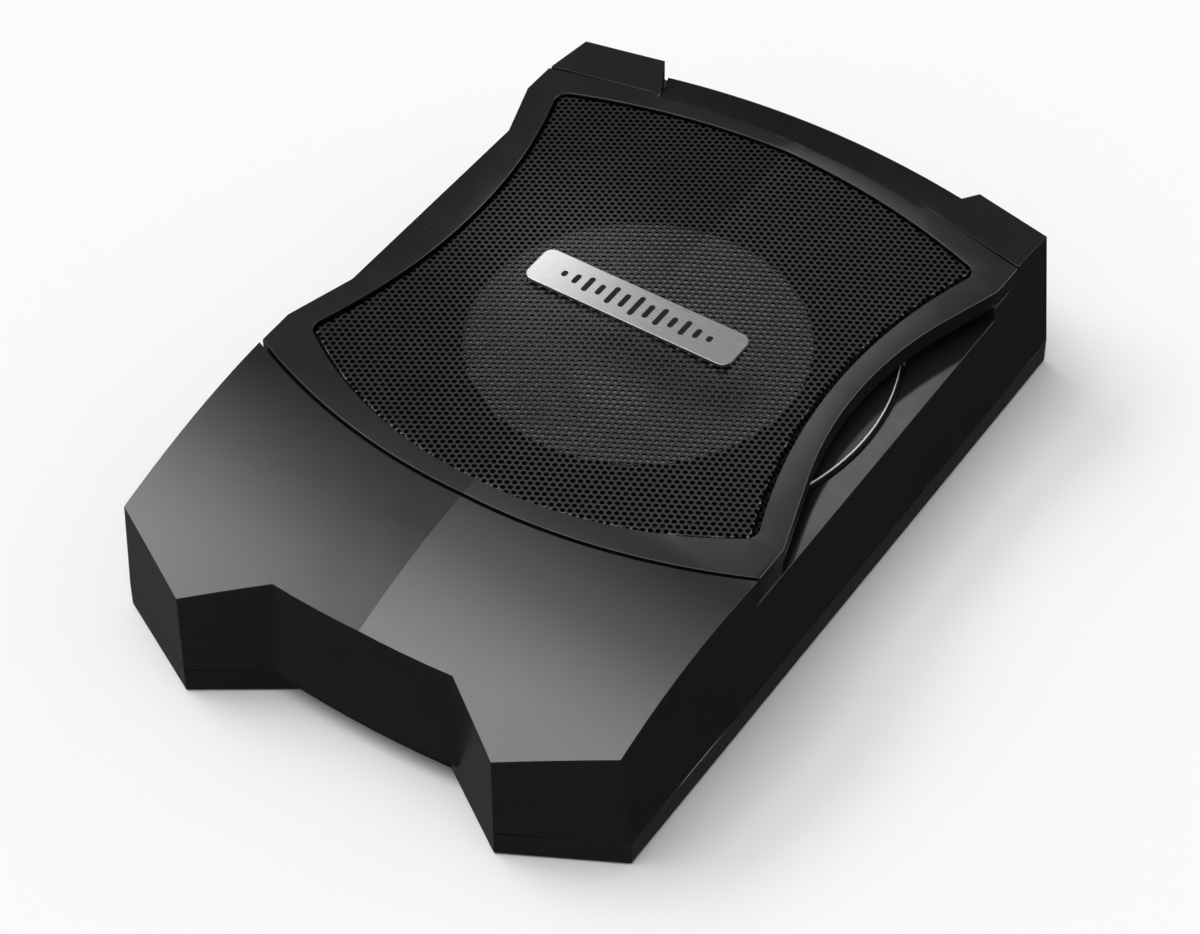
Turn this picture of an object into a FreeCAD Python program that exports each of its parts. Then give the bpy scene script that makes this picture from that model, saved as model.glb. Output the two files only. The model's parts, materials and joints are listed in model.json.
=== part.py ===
import FreeCAD, Part
import math
import os
import Sketcher

# Compact powered car subwoofer, the under-seat kind: a cast top cover over a shallow bottom
# shell, an 8-inch driver under a waisted grille frame, the amplifier under the front deck and
# the connections in a bay between the two rear posts.
# Frame: millimetres, +Z up, -Y front, origin at the centre of the footprint, feet on z = 0.

Vector = FreeCAD.Vector
doc = FreeCAD.newDocument("powered_subwoofer")
sheet = doc.addObject("Spreadsheet::Sheet", "dims")
sheet_rows = []
parts = []


class Size:
    """A length that carries both its value and the sheet expression it comes from."""

    def __init__(self, text, value):
        self.text = text
        self.value = value

    def __add__(self, other):
        other = size(other)
        return Size(f"({self.text} + {other.text})", self.value + other.value)

    def __sub__(self, other):
        other = size(other)
        return Size(f"({self.text} - {other.text})", self.value - other.value)

    def __mul__(self, other):
        other = size(other)
        return Size(f"({self.text} * {other.text})", self.value * other.value)

    def __truediv__(self, other):
        other = size(other)
        return Size(f"({self.text} / {other.text})", self.value / other.value)

    def __neg__(self):
        return Size(f"(-1 * {self.text})", -self.value)

    def __radd__(self, other):
        return size(other) + self

    def __rsub__(self, other):
        return size(other) - self

    __rmul__ = __mul__


def size(number):
    """Wrap a plain number, so that it can be mixed with sizes from the sheet."""
    if isinstance(number, Size):
        return number
    return Size(f"{number:.6f}", float(number))


def cell(alias, value):
    """Put one driving dimension in the sheet and return it as a Size."""
    sheet_rows.append(alias)
    address = f"A{len(sheet_rows)}"
    sheet.set(address, str(value))
    sheet.setAlias(address, alias)
    return Size(f"dims.{alias}", float(value))


# ---------------------------------------------------------------- driving dimensions

# housing levels
foot_height = cell("foot_height", 0.8)
seam_low = cell("seam_low", 11.7)
seam_high = cell("seam_high", 12.3)
shoulder_z = cell("shoulder_z", 60.0)
platform_z = cell("platform_z", 66.4)
block_top = cell("block_top", 82.0)
wall = cell("wall", 3.0)
floor_thick = cell("floor_thick", 2.5)
ceiling_z = cell("ceiling_z", 54.8)
cavity_z = cell("cavity_z", 45.0)

# roof: a gentle barrel along Y, a round nose at the front, and a crease on the centre line
roof_peak = cell("roof_peak", 77.6)
nose_top = cell("nose_top", 76.5)
nose_y = cell("nose_y", -63.5)
nose_radius = cell("nose_radius", 286.0)
barrel_radius = cell("barrel_radius", 7000.0)
crown_slope = cell("crown_slope", 0.031)
post_slope_y = cell("post_slope_y", 134.0)
post_slope_z = cell("post_slope_z", 77.5)
post_fall = cell("post_fall", 0.142)

# plan outline at the seam, right-hand half, from the front notch round to the rear
notch_x = cell("notch_x", 42.9)
notch_y = cell("notch_y", -156.05)
notch_bow = cell("notch_bow", 480.0)
tip_x = cell("tip_x", 70.9)
tip_y = cell("tip_y", -174.25)
corner_x = cell("corner_x", 115.5)
corner_y = cell("corner_y", -150.75)
waist_x = cell("waist_x", 115.2)
waist_y = cell("waist_y", -64.0)
flank_x = cell("flank_x", 114.4)
flank_y = cell("flank_y", 125.0)
rear_x = cell("rear_x", 114.2)
rear_y = cell("rear_y", 163.15)
heel_x = cell("heel_x", 78.0)
heel_y = cell("heel_y", 170.5)
base_notch_x = cell("base_notch_x", 35.1)
base_notch_y = cell("base_notch_y", -150.25)
lean_height = cell("lean_height", 63.0)

# grille frame
gap_radius = cell("gap_radius", 259.0)
gap_front_y = cell("gap_front_y", -90.45)
frame_gap = cell("frame_gap", 1.6)
frame_front_x = cell("frame_front_x", 113.4)
frame_front_y = cell("frame_front_y", -46.0)
frame_rear_x = cell("frame_rear_x", 111.6)
frame_rear_y = cell("frame_rear_y", 117.3)
hollow_y = cell("hollow_y", 39.25)
hollow_x = cell("hollow_x", 94.6)
hollow_radius = cell("hollow_radius", 167.0)
hollow_half = cell("hollow_half", 48.0)
bridge_z = cell("bridge_z", 66.2)
post_front_x = cell("post_front_x", 111.6)
post_front_y = cell("post_front_y", 134.35)
post_inner_x = cell("post_inner_x", 63.5)
post_inner_y = cell("post_inner_y", 144.65)
post_back_x = cell("post_back_x", 75.7)
post_back_y = cell("post_back_y", 166.95)
lip_radius = cell("lip_radius", 500.0)
lip_y = cell("lip_y", 174.25)
bevel_centre_y = cell("bevel_centre_y", -84.9)
bevel_start = cell("bevel_start", 231.0)
bevel_fall = cell("bevel_fall", 0.483)

# mesh opening in the frame
opening_side_radius = cell("opening_side_radius", 233.0)
opening_rear_radius = cell("opening_rear_radius", 290.0)
opening_front_radius = cell("opening_front_radius", 171.0)
opening_corner_radius = cell("opening_corner_radius", 6.0)
opening_corner_x = cell("opening_corner_x", 102.4)
opening_corner_front = cell("opening_corner_front", -46.5)
opening_corner_rear = cell("opening_corner_rear", 122.0)
mesh_thick = cell("mesh_thick", 1.0)
mesh_drop = cell("mesh_drop", 1.4)
mesh_margin = cell("mesh_margin", 3.0)

# driver
driver_y = cell("driver_y", 30.0)
ring_radius = cell("ring_radius", 104.0)
recess_radius = cell("recess_radius", 105.6)
recess_z = cell("recess_z", 57.8)
cutout_radius = cell("cutout_radius", 89.0)
flange_z = cell("flange_z", 58.6)
flange_thick = cell("flange_thick", 1.6)
screw_circle = cell("screw_circle", 97.5)
coil_radius = cell("coil_radius", 20.0)

# rear bay
bay_half = cell("bay_half", 73.0)
bay_y = cell("bay_y", 161.0)
panel_half = cell("panel_half", 69.5)
panel_low = cell("panel_low", 14.5)
panel_high = cell("panel_high", 55.5)
panel_thick = cell("panel_thick", 2.5)
window_half = cell("window_half", 63.5)
window_low = cell("window_low", 18.0)
window_high = cell("window_high", 52.0)
board_back_y = cell("board_back_y", 150.4)

doc.recompute()


# ---------------------------------------------------------------- building helpers

def bind(thing, prop, length):
    thing.setExpression(prop, size(length).text)


def named(thing, label):
    """Make this object a sub-part of the product."""
    thing.Label = label
    parts.append(thing)
    return thing


def body_of(label, y=None):
    body = doc.addObject("PartDesign::Body", label)
    if y is not None:
        bind(body, "Placement.Base.y", y)
    return body


def sketch_on(body, role, name, lift=None):
    """A sketch on one of the body's own origin planes, lifted along its normal."""
    sketch = body.newObject("Sketcher::SketchObject", name)
    planes = [plane for plane in body.Origin.OriginFeatures if plane.Role == role]
    sketch.AttachmentSupport = (planes[0], [""])
    sketch.MapMode = "FlatFace"
    if lift is not None:
        bind(sketch, "AttachmentOffset.Base.z", lift)
    return sketch


def pin_point(sketch, geometry, end, x, y):
    """Hold one end of a line or arc at (x, y) by the sheet."""
    for axis, kind, place in ((-2, "DistanceX", x), (-1, "DistanceY", y)):
        if abs(place.value) < 1e-9:
            sketch.addConstraint(Sketcher.Constraint("PointOnObject", geometry, end, axis))
            continue
        number = sketch.addConstraint(
            Sketcher.Constraint(kind, -1, 1, geometry, end, place.value))
        sketch.setExpression(f"Constraints[{number}]", place.text)


def arc_middle(start, stop, radius, side):
    """Middle point of the arc from start to stop that bows to the right (side 1) or left."""
    chord = stop - start
    half = chord.Length / 2
    rise = radius - math.sqrt(radius * radius - half * half)
    across = Vector(chord.y, -chord.x, 0).normalize()
    return (start + stop) / 2 + across * rise * side


def loop(sketch, points, bows=None):
    """Close a loop through the points; bows gives (radius, side) for each edge that is an arc."""
    bows = bows or {}
    corners = [(size(x), size(y)) for x, y in points]
    spots = [Vector(x.value, y.value, 0) for x, y in corners]
    base = sketch.GeometryCount
    ends = []
    for index, start in enumerate(spots):
        stop = spots[(index + 1) % len(spots)]
        first = 1
        if index in bows:
            radius, side = bows[index]
            radius = size(radius)
            middle = arc_middle(start, stop, radius.value, side)
            edge = sketch.addGeometry(Part.Arc(start, middle, stop), False)
            if (sketch.getPoint(edge, 1) - start).Length > 1e-6:
                first = 2
        else:
            edge = sketch.addGeometry(Part.LineSegment(start, stop), False)
        ends.append(first)
    count = len(spots)
    for index in range(count):
        after = (index + 1) % count
        sketch.addConstraint(Sketcher.Constraint(
            "Coincident", base + index, 3 - ends[index], base + after, ends[after]))
    for index, (x, y) in enumerate(corners):
        pin_point(sketch, base + index, ends[index], x, y)
    for index, (radius, side) in bows.items():
        radius = size(radius)
        number = sketch.addConstraint(
            Sketcher.Constraint("Radius", base + index, radius.value))
        sketch.setExpression(f"Constraints[{number}]", radius.text)
    return sketch


def circle(sketch, x, y, radius):
    x, y, radius = size(x), size(y), size(radius)
    ring = Part.Circle(Vector(x.value, y.value, 0), Vector(0, 0, 1), radius.value)
    index = sketch.addGeometry(ring, False)
    pin_point(sketch, index, 3, x, y)
    number = sketch.addConstraint(Sketcher.Constraint("Radius", index, radius.value))
    sketch.setExpression(f"Constraints[{number}]", radius.text)
    return sketch


def mirrored(points):
    """The right-hand points followed by their mirror images, as one closed loop."""
    return points + [(-size(x), y) for x, y in reversed(points)]


def pad(body, sketch, length, down=False):
    feature = body.newObject("PartDesign::Pad", sketch.Name + "_pad")
    feature.Profile = sketch
    bind(feature, "Length", length)
    feature.Reversed = down
    return feature


def pocket(body, sketch, length, up=False):
    feature = body.newObject("PartDesign::Pocket", sketch.Name + "_pocket")
    feature.Profile = sketch
    bind(feature, "Length", length)
    feature.Reversed = up
    return feature


def revolve(body, sketch, angle=360, midplane=False):
    feature = body.newObject("PartDesign::Revolution", sketch.Name + "_turn")
    feature.Profile = sketch
    feature.ReferenceAxis = (sketch, ["V_Axis"])
    feature.Angle = angle
    feature.Midplane = midplane
    return feature


def polar(body, feature, count):
    """Repeat a feature about the body's own Z axis."""
    pattern = body.newObject("PartDesign::PolarPattern", feature.Name + "_ring")
    axes = [axis for axis in body.Origin.OriginFeatures if axis.Role == "Z_Axis"]
    pattern.Originals = [feature]
    pattern.Axis = (axes[0], [""])
    pattern.Angle = 360
    pattern.Occurrences = count
    body.Tip = pattern
    return pattern


def turned(label, outline, bows=None, y=driver_y):
    """A body of revolution about the driver's axis, from (radius, z) points."""
    body = body_of(label, y)
    sketch = sketch_on(body, "XZ_Plane", label + "_profile")
    loop(sketch, outline, bows)
    revolve(body, sketch)
    return body


def place(thing, x, y, z):
    for axis, length in zip("xyz", (x, y, z)):
        bind(thing, f"Placement.Base.{axis}", length)
    return thing


def turn_to(thing, direction):
    """Point a cylinder or prism, made along +Z, in another direction."""
    thing.Placement = FreeCAD.Placement(
        Vector(), FreeCAD.Rotation(Vector(0, 0, 1), Vector(*direction)))
    return thing


def box(name, low, sides):
    """A Part box from its lowest corner and its three sides."""
    block = doc.addObject("Part::Box", name)
    for prop, length in zip(("Length", "Width", "Height"), sides):
        bind(block, prop, length)
    return place(block, *low)


def rod(name, foot, radius, height, direction=(0, 0, 1)):
    """A Part cylinder that starts at foot."""
    cylinder = doc.addObject("Part::Cylinder", name)
    bind(cylinder, "Radius", radius)
    bind(cylinder, "Height", height)
    turn_to(cylinder, direction)
    return place(cylinder, *foot)


def tube(name, foot, outer, inner, height, direction=(0, 0, 1)):
    return cut(name, rod(name + "_outer", foot, outer, height, direction),
               rod(name + "_bore", foot, inner, height, direction))


def hexagon(name, foot, radius, height, direction=(0, 0, 1)):
    prism = doc.addObject("Part::Prism", name)
    prism.Polygon = 6
    bind(prism, "Circumradius", radius)
    bind(prism, "Height", height)
    turn_to(prism, direction)
    return place(prism, *foot)


def cut(name, base, *tools):
    """Base minus the tools, one boolean for all of them."""
    result = doc.addObject("Part::Cut", name)
    result.Base = base
    result.Tool = tools[0] if len(tools) == 1 else group(name + "_tools", tools)
    return result


def group(name, members):
    fused = doc.addObject("Part::MultiFuse", name)
    fused.Shapes = list(members)
    return fused


def common(name, base, tool):
    result = doc.addObject("Part::Common", name)
    result.Base = base
    result.Tool = tool
    return result


def step_along(foot, direction, distance):
    """The point at a distance from foot along one of the frame's axes."""
    return tuple(size(place) + size(distance) * way for place, way in zip(foot, direction))


def screw(name, seat, direction, head, shank):
    """Socket-head screw: seat is under the head, direction runs from the seat to the tip."""
    head_radius, head_height = head
    shank_radius, shank_length = shank
    back = tuple(-way for way in direction)
    top = step_along(seat, back, head_height)
    socket = step_along(seat, back, head_height * 0.4)
    solid = group(name + "_solid", [
        rod(name + "_head", top, head_radius, head_height, direction),
        rod(name + "_shank", seat, shank_radius, shank_length, direction)])
    return cut(name, solid, hexagon(name + "_socket", socket, head_radius * 0.5,
                                    head_height, back))


def screw_set(label, seats, direction, head, shank):
    """Identical screws, one solid each, kept together as one sub-part."""
    screws = [screw(f"{label}_{index}", seat, direction, head, shank)
              for index, seat in enumerate(seats)]
    return named(group(label, screws), label)


def both_sides(spots):
    return [(side * size(x), y) for x, y in spots for side in (1, -1)]


# ---------------------------------------------------------------- roof surface

def sheared(name, outline, bows=None):
    """A section in the YZ plane drawn out to both sides while it falls by the crown slope."""
    body = body_of(name + "_section")
    sketch = sketch_on(body, "YZ_Plane", name + "_profile")
    loop(sketch, outline, bows)
    halves = []
    for side in (1, -1):
        half = doc.addObject("Part::Extrusion", f"{name}_half")
        half.Base = sketch
        half.DirMode = "Custom"
        half.Dir = Vector(side, 0, -crown_slope.value)
        bind(half, "LengthFwd", block_top * 1.6)
        half.Solid = True
        halves.append(half)
    return group(name, halves)


def roof_line(drop):
    """Roof section from front to rear, lowered by drop, with its two arcs."""
    front_run = 121.5
    rear_run = 126.5
    nose_fall = nose_radius.value - math.sqrt(nose_radius.value ** 2 - front_run ** 2)
    barrel_front = roof_peak - nose_top
    rear_y_end = nose_y + 2 * rear_run
    points = [(nose_y - front_run, nose_top - nose_fall - drop),
              (nose_y, nose_top - drop),
              (rear_y_end, roof_peak - barrel_front - drop)]
    return points, {0: (nose_radius, -1), 1: (barrel_radius, -1)}


def sky(name, drop=0):
    """Everything above the roof, lowered by drop."""
    points, bows = roof_line(drop)
    front, rear = points[0], points[-1]
    ceiling = block_top + 30
    return sheared(name, points + [(rear[0], ceiling), (front[0], ceiling)], bows)


def skin(name, drop, thick):
    """A band under the roof, from drop to drop + thick below it."""
    upper, bows = roof_line(drop)
    lower, _ = roof_line(drop + thick)
    bows[3] = (bows[1][0], 1)
    bows[4] = (bows[0][0], 1)
    return sheared(name, upper + lower[::-1], bows)


# ---------------------------------------------------------------- housing

def inset_factors(points):
    """How far each corner moves, per millimetre of inset, along X and Y."""
    factors = []
    count = len(points)
    for index in range(count):
        before = Vector(*points[index - 1], 0)
        here = Vector(*points[index], 0)
        after = Vector(*points[(index + 1) % count], 0)
        first = (here - before).normalize()
        second = (after - here).normalize()
        inward = Vector(-first.y, first.x, 0) + Vector(-second.y, second.x, 0)
        inward.normalize()
        spread = inward.dot(Vector(-first.y, first.x, 0))
        factors.append((inward.x / spread, inward.y / spread))
    return factors


def footprint(z, inset=0, deep_notch=False):
    """Plan outline of the housing at height z, moved inwards by inset."""
    seam = [(notch_x, notch_y), (tip_x, tip_y), (corner_x, corner_y), (waist_x, waist_y),
            (flank_x, flank_y), (rear_x, rear_y), (heel_x, heel_y)]
    lean = [(-3.2, 2.4), (-0.3, 0.3), (-5.1, -2.2), (-1.8, 0), (-2.9, 0), (-3.9, -3.85),
            (-2.5, -3.8)]
    if deep_notch:
        seam[0] = (base_notch_x, base_notch_y)
    rise = size(z) - seam_high
    if rise.value < 0:
        rise = size(0)
    right = [(x + rise * across / lean_height, y + rise * along / lean_height)
             for (x, y), (across, along) in zip(seam, lean)]
    outline = mirrored(right)
    factors = inset_factors([(x.value, y.value) for x, y in outline])
    moved = [(x + size(inset) * fx, y + size(inset) * fy)
             for (x, y), (fx, fy) in zip(outline, factors)]
    return moved, {len(moved) - 1: (notch_bow, 1)}


def housing_block(name, low, high, inset=0):
    """Solid between two heights that follows the drafted outline."""
    body = body_of(name)
    lower = sketch_on(body, "XY_Plane", name + "_low", low)
    loop(lower, *footprint(low, inset))
    upper = sketch_on(body, "XY_Plane", name + "_high", high)
    loop(upper, *footprint(high, inset))
    loft = body.newObject("PartDesign::AdditiveLoft", name + "_loft")
    loft.Profile = lower
    loft.Sections = [upper]
    loft.Ruled = True
    return body


def gap_arc(offset):
    """Half width, the Y there and the radius of an arc parallel to the deck's rear edge."""
    half = size(124.0)
    radius = gap_radius + offset
    rise = radius.value - math.sqrt(radius.value ** 2 - half.value ** 2)
    return half, gap_front_y - offset + rise, radius


housing_spots = both_sides([(70.0, -160.0), (102.0, -137.0), (104.0, -62.0), (104.0, 116.0),
                            (98.0, 150.0)])
boss_tops = (55.8, 61.6, 55.8, 55.8, 55.8)
frame_spots = both_sides([(90.0, -64.0), (40.0, -82.2), (98.0, 130.8)])
frame_seats = (54.8, 54.8, 61.0)


def make_top_cover():
    cover = housing_block("cover_block", seam_high, block_top)

    # the deck ends at an arc; behind it the cover drops to the shoulder under the frame
    half, gap_y, radius = gap_arc(0)
    recess = sketch_on(cover, "XY_Plane", "shoulder_recess", shoulder_z)
    right = [(half, gap_y), (half, frame_rear_y - 1.8), (88.0, frame_rear_y - 1.8),
             (88.0, post_inner_y - 8), (post_inner_x, post_inner_y),
             (post_back_x, post_back_y), (post_back_x + 6.0, post_back_y + 11.0)]
    loop(recess, mirrored(right), {13: (radius, 1)})
    pocket(cover, recess, 30, up=True)

    # low platforms that carry the rear corners of the frame
    for side in (1, -1):
        platform = sketch_on(cover, "XY_Plane", "platform", platform_z)
        corners = [(86.0, frame_rear_y - 4), (120.0, frame_rear_y - 4),
                   (120.0, post_front_y - 1.8), (post_front_x, post_front_y),
                   (post_inner_x, post_inner_y), (86.0, post_inner_y - 10)]
        loop(platform, [(side * size(x), y) for x, y in corners])
        pocket(cover, platform, 30, up=True)

    # inside of the walls, then the rear bay and its window
    inner_low = sketch_on(cover, "XY_Plane", "cavity_low", seam_high)
    loop(inner_low, *footprint(seam_high, wall))
    inner_high = sketch_on(cover, "XY_Plane", "cavity_high", cavity_z)
    loop(inner_high, *footprint(cavity_z, wall))
    cavity = cover.newObject("PartDesign::SubtractiveLoft", "cavity")
    cavity.Profile = inner_low
    cavity.Sections = [inner_high]
    cavity.Ruled = True

    opening = sketch_on(cover, "XY_Plane", "driver_opening", shoulder_z)
    circle(opening, 0, driver_y, cutout_radius)
    pocket(cover, opening, 12)
    seat = sketch_on(cover, "XY_Plane", "driver_recess", shoulder_z)
    circle(seat, 0, driver_y, recess_radius)
    pocket(cover, seat, shoulder_z - recess_z)

    half, gap_y, radius = gap_arc(wall)
    nose = housing_block("deck_cavity_block", cavity_z - 1, block_top, wall)
    behind = sketch_on(nose, "XY_Plane", "behind_deck", ceiling_z)
    loop(behind, [(half, gap_y), (half, 190), (-half, 190), (-half, gap_y)], {3: (radius, 1)})
    pocket(nose, behind, 40, up=True)
    deck_cavity = cut("deck_cavity", nose, sky("sky_inner", wall))

    post_sky = sheared("post_sky", [
        (post_slope_y, post_slope_z), (post_slope_y + 60, post_slope_z - post_fall * 60),
        (post_slope_y + 60, block_top + 30), (post_slope_y, block_top + 30)])

    bay = box("bay_void", (-bay_half, bay_y, seam_high - 1),
              (bay_half * 2, 20, shoulder_z - seam_high + 1))
    bay_wall = box("bay_wall", (-bay_half - wall, bay_y - wall, seam_high),
                   (bay_half * 2 + wall * 2, wall, ceiling_z - seam_high + 0.5))
    cheeks = [box("bay_cheek", (side * (bay_half + wall / 2) - wall / 2, bay_y - wall, seam_high),
                  (wall, wall + 5.5, ceiling_z - seam_high + 0.5)) for side in (1, -1)]
    sill = common("notch_sill", housing_block("sill_block", seam_high, seam_high + wall),
                  box("sill_reach", (-48, notch_y - 4, seam_high), (96, 12.5, wall)))
    window = box("bay_window", (-window_half, bay_y - 10, window_low),
                 (window_half * 2, 20, window_high - window_low))
    shaped = cut("cover_shaped", cover, sky("sky_cover"), post_sky, deck_cavity, bay)
    bosses = [rod("cover_boss", (x, y, seam_high), 4.0, boss_tops[index // 2] - seam_high)
              for index, (x, y) in enumerate(housing_spots)]
    solid = group("cover_solid", [shaped, bay_wall, sill] + cheeks + bosses)
    holes = [rod("boss_hole", (x, y, seam_high - 1), 1.6, 16) for x, y in housing_spots]
    holes += [rod("frame_hole", (x, y, ceiling_z - 2), 1.8, 20) for x, y in frame_spots]
    holes += [rod("frame_sink", (x, y, ceiling_z - 2), 3.5, frame_seats[2] - ceiling_z + 2)
              for x, y in frame_spots[4:]]
    holes += [driver_hole("cover_driver_hole", index, ceiling_z - 2, 2.1, 10)
              for index in range(8)]
    holes += [rod("panel_hole", (x, bay_y - 5, z), 1.3, 8, (0, 1, 0)) for x, z in panel_spots()]
    named(cut("top_cover", solid, window, *holes), "top_cover")


def driver_angle(index):
    return math.radians(22.5 + 45 * index)


def driver_spot(index):
    """One of the eight screw places on the driver's flange."""
    angle = driver_angle(index)
    return screw_circle * math.cos(angle), driver_y + screw_circle * math.sin(angle)


def driver_hole(name, index, z, radius, height):
    x, y = driver_spot(index)
    return rod(name, (x, y, z), radius, height)


def panel_spots():
    """Screw places at the corners of the rear panel: (x, z)."""
    across = panel_half - 3.2
    return [(side * across, z) for side in (1, -1) for z in (panel_low + 6.0, panel_high - 6.0)]


foot_spots = both_sides([(86.0, -140.0), (76.0, 148.0)])
insert_spots = both_sides([(80.0, -100.0), (80.0, 100.0)])


def make_bottom_shell():
    shell = body_of("shell_block")
    plan = sketch_on(shell, "XY_Plane", "shell_plan", foot_height)
    loop(plan, *footprint(0, 0, deep_notch=True))
    pad(shell, plan, seam_low - foot_height)
    inside = sketch_on(shell, "XY_Plane", "shell_inside", foot_height + floor_thick)
    loop(inside, *footprint(0, wall, deep_notch=True))
    pocket(shell, inside, 20, up=True)
    base = foot_height + floor_thick - 0.5
    bosses = [rod("shell_boss", (x, y, base), 4.2, seam_low - base) for x, y in housing_spots]
    bosses += [rod("insert_boss", (x, y, base), 5.0, 5.5) for x, y in insert_spots]
    solid = group("shell_solid", [shell] + bosses)
    holes = [rod("screw_hole", (x, y, 0), 1.8, 20) for x, y in housing_spots]
    holes += [rod("screw_sink", (x, y, 0), 3.4, foot_height + 3.2) for x, y in housing_spots]
    holes += [rod("insert_hole", (x, y, 0), 3.0, foot_height + 6.4) for x, y in insert_spots]
    holes += [rod("foot_recess", (x, y, 0), 9.2, foot_height + 1.4) for x, y in foot_spots]
    named(cut("bottom_shell", solid, *holes), "bottom_shell")

    seal = body_of("gasket_block")
    ring = sketch_on(seal, "XY_Plane", "gasket_plan", seam_low)
    loop(ring, *footprint(0, 0.9, deep_notch=True))
    loop(ring, *footprint(0, 2.7, deep_notch=True))
    pad(seal, ring, seam_high - seam_low)
    named(seal, "housing_gasket")

    screw_set("housing_screws", [(x, y, foot_height + 3.2) for x, y in housing_spots],
              (0, 0, 1), (2.8, 2.4), (1.5, 20.0))
    pads = [rod("foot_pad", (x, y, 0), 9.0, foot_height + 1.4) for x, y in foot_spots]
    named(group("foot_pads", pads), "foot_pads")
    inserts = [tube("bracket_insert", (x, y, foot_height + 0.2), 2.97, 2.1, 5.8)
               for x, y in insert_spots]
    named(group("bracket_inserts", inserts), "bracket_inserts")


# ---------------------------------------------------------------- grille

def opening_loop(grow):
    """Mesh opening in the frame: four bowed edges, grown outwards by grow."""
    right = [(opening_corner_x + grow, opening_corner_front - grow),
             (opening_corner_x + grow - 2.6, opening_corner_rear + grow)]
    left = [(-x, y) for x, y in reversed(right)]
    side_bow = (opening_side_radius, -1)
    return right + left, {0: side_bow, 1: (opening_rear_radius, 1), 2: side_bow,
                           3: (opening_front_radius, 1)}


def opening_prism(name, grow):
    body = body_of(name)
    sketch = sketch_on(body, "XY_Plane", name + "_plan", shoulder_z - 4)
    loop(sketch, *opening_loop(grow))
    block = pad(body, sketch, 32)
    doc.recompute()
    upright = [f"Edge{number + 1}" for number, edge in enumerate(block.Shape.Edges)
               if abs(edge.tangentAt(edge.FirstParameter).z) > 0.99]
    rounding = body.newObject("PartDesign::Fillet", name + "_corners")
    rounding.Base = (block, upright)
    bind(rounding, "Radius", opening_corner_radius + size(grow))
    return body


def frame_outline():
    """Right-hand half of the grille frame in plan."""
    half, gap_y, radius = gap_arc(-frame_gap)
    front_rise = radius.value - math.sqrt(radius.value ** 2 - frame_front_x.value ** 2)
    hollow_rise = hollow_radius.value - math.sqrt(hollow_radius.value ** 2
                                                  - hollow_half.value ** 2)
    points = [(frame_front_x, gap_front_y + frame_gap + front_rise),
              (frame_front_x, frame_front_y),
              (hollow_x + hollow_rise, hollow_y - hollow_half),
              (hollow_x + hollow_rise, hollow_y + hollow_half),
              (frame_rear_x, frame_rear_y),
              (frame_rear_x, post_front_y - 1.0),
              (post_inner_x - 0.7, post_inner_y - 0.85),
              (post_back_x - 0.7, post_back_y + 0.4)]
    lip = math.sqrt(lip_radius.value ** 2 - points[-1][0].value ** 2)
    points[-1] = (post_back_x - 0.7, lip_y - lip_radius + lip)
    return points, radius


def make_grille_frame():
    block = body_of("frame_block")
    right, radius = frame_outline()
    plan = sketch_on(block, "XY_Plane", "frame_plan", shoulder_z + 0.1)
    last = len(right)
    loop(plan, mirrored(right), {2: (hollow_radius, -1), last - 1: (lip_radius, 1),
                                 2 * last - 4: (hollow_radius, -1), 2 * last - 1: (radius, 1)})
    pad(block, plan, block_top - shoulder_z - 0.1)

    # underside: clear of the driver's ring, and bridging over the side shoulders
    under = sketch_on(block, "XY_Plane", "frame_under", bridge_z)
    circle(under, 0, driver_y, recess_radius + 1.4)
    pocket(block, under, 20)
    bridge = sketch_on(block, "XY_Plane", "frame_bridge", bridge_z)
    loop(bridge, [(-120, frame_front_y), (120, frame_front_y), (120, frame_rear_y - 1),
                  (-120, frame_rear_y - 1)])
    pocket(block, bridge, 20)
    for side in (1, -1):
        step = sketch_on(block, "XY_Plane", "frame_step", platform_z + 0.2)
        corners = [(85.0, frame_rear_y - 5), (125.0, frame_rear_y - 5), (125.0, post_front_y + 2),
                   (post_inner_x - 1.5, post_inner_y + 2), (85.0, post_inner_y - 12)]
        loop(step, [(side * size(x), y) for x, y in corners])
        pocket(block, step, 20)
    tail = sketch_on(block, "XY_Plane", "tail_hollow", shoulder_z + 0.1)
    loop(tail, mirrored([(54.0, post_inner_y + 1), (62.0, post_back_y - 3)]))
    pocket(block, tail, 4.0, up=True)

    # bevel that falls away to the rear lip
    ring = body_of("bevel_ring", bevel_centre_y)
    profile = sketch_on(ring, "XZ_Plane", "bevel_profile")
    reach = 50
    top = roof_peak - 0.7
    loop(profile, [(bevel_start, top), (bevel_start + reach, top - bevel_fall * reach),
                   (bevel_start + reach, 110), (bevel_start, 110)])
    revolve(ring, profile)
    fence = body_of("bevel_fence")
    fence_plan = sketch_on(fence, "XY_Plane", "bevel_fence_plan", shoulder_z - 6)
    lead = (post_back_x - post_inner_x) / (post_back_y - post_inner_y)
    loop(fence_plan, mirrored([(post_inner_x - 0.6, 120),
                               (post_inner_x - 0.6, post_inner_y - 1.0),
                               (post_inner_x - 0.6 + lead * 41, post_inner_y + 40)]))
    pad(fence, fence_plan, 60)
    bevel = common("bevel", ring, fence)

    rebate = cut("mesh_rebate", opening_prism("rebate_prism", mesh_margin + 0.2),
                 sky("sky_rebate", mesh_drop - 0.1))
    holes = [rod("frame_thread", (x, y, shoulder_z - 1), 1.4, frame_seats[index // 2] - 48.0)
             for index, (x, y) in enumerate(frame_spots)]
    named(cut("grille_frame", block, sky("sky_frame"), opening_prism("window_prism", 0),
              rebate, bevel, *holes), "grille_frame")
    seats = [(x, y, frame_seats[index // 2]) for index, (x, y) in enumerate(frame_spots)]
    screw_set("frame_screws", seats, (0, 0, 1), (3.0, 2.4), (1.35, 11.0))


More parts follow.
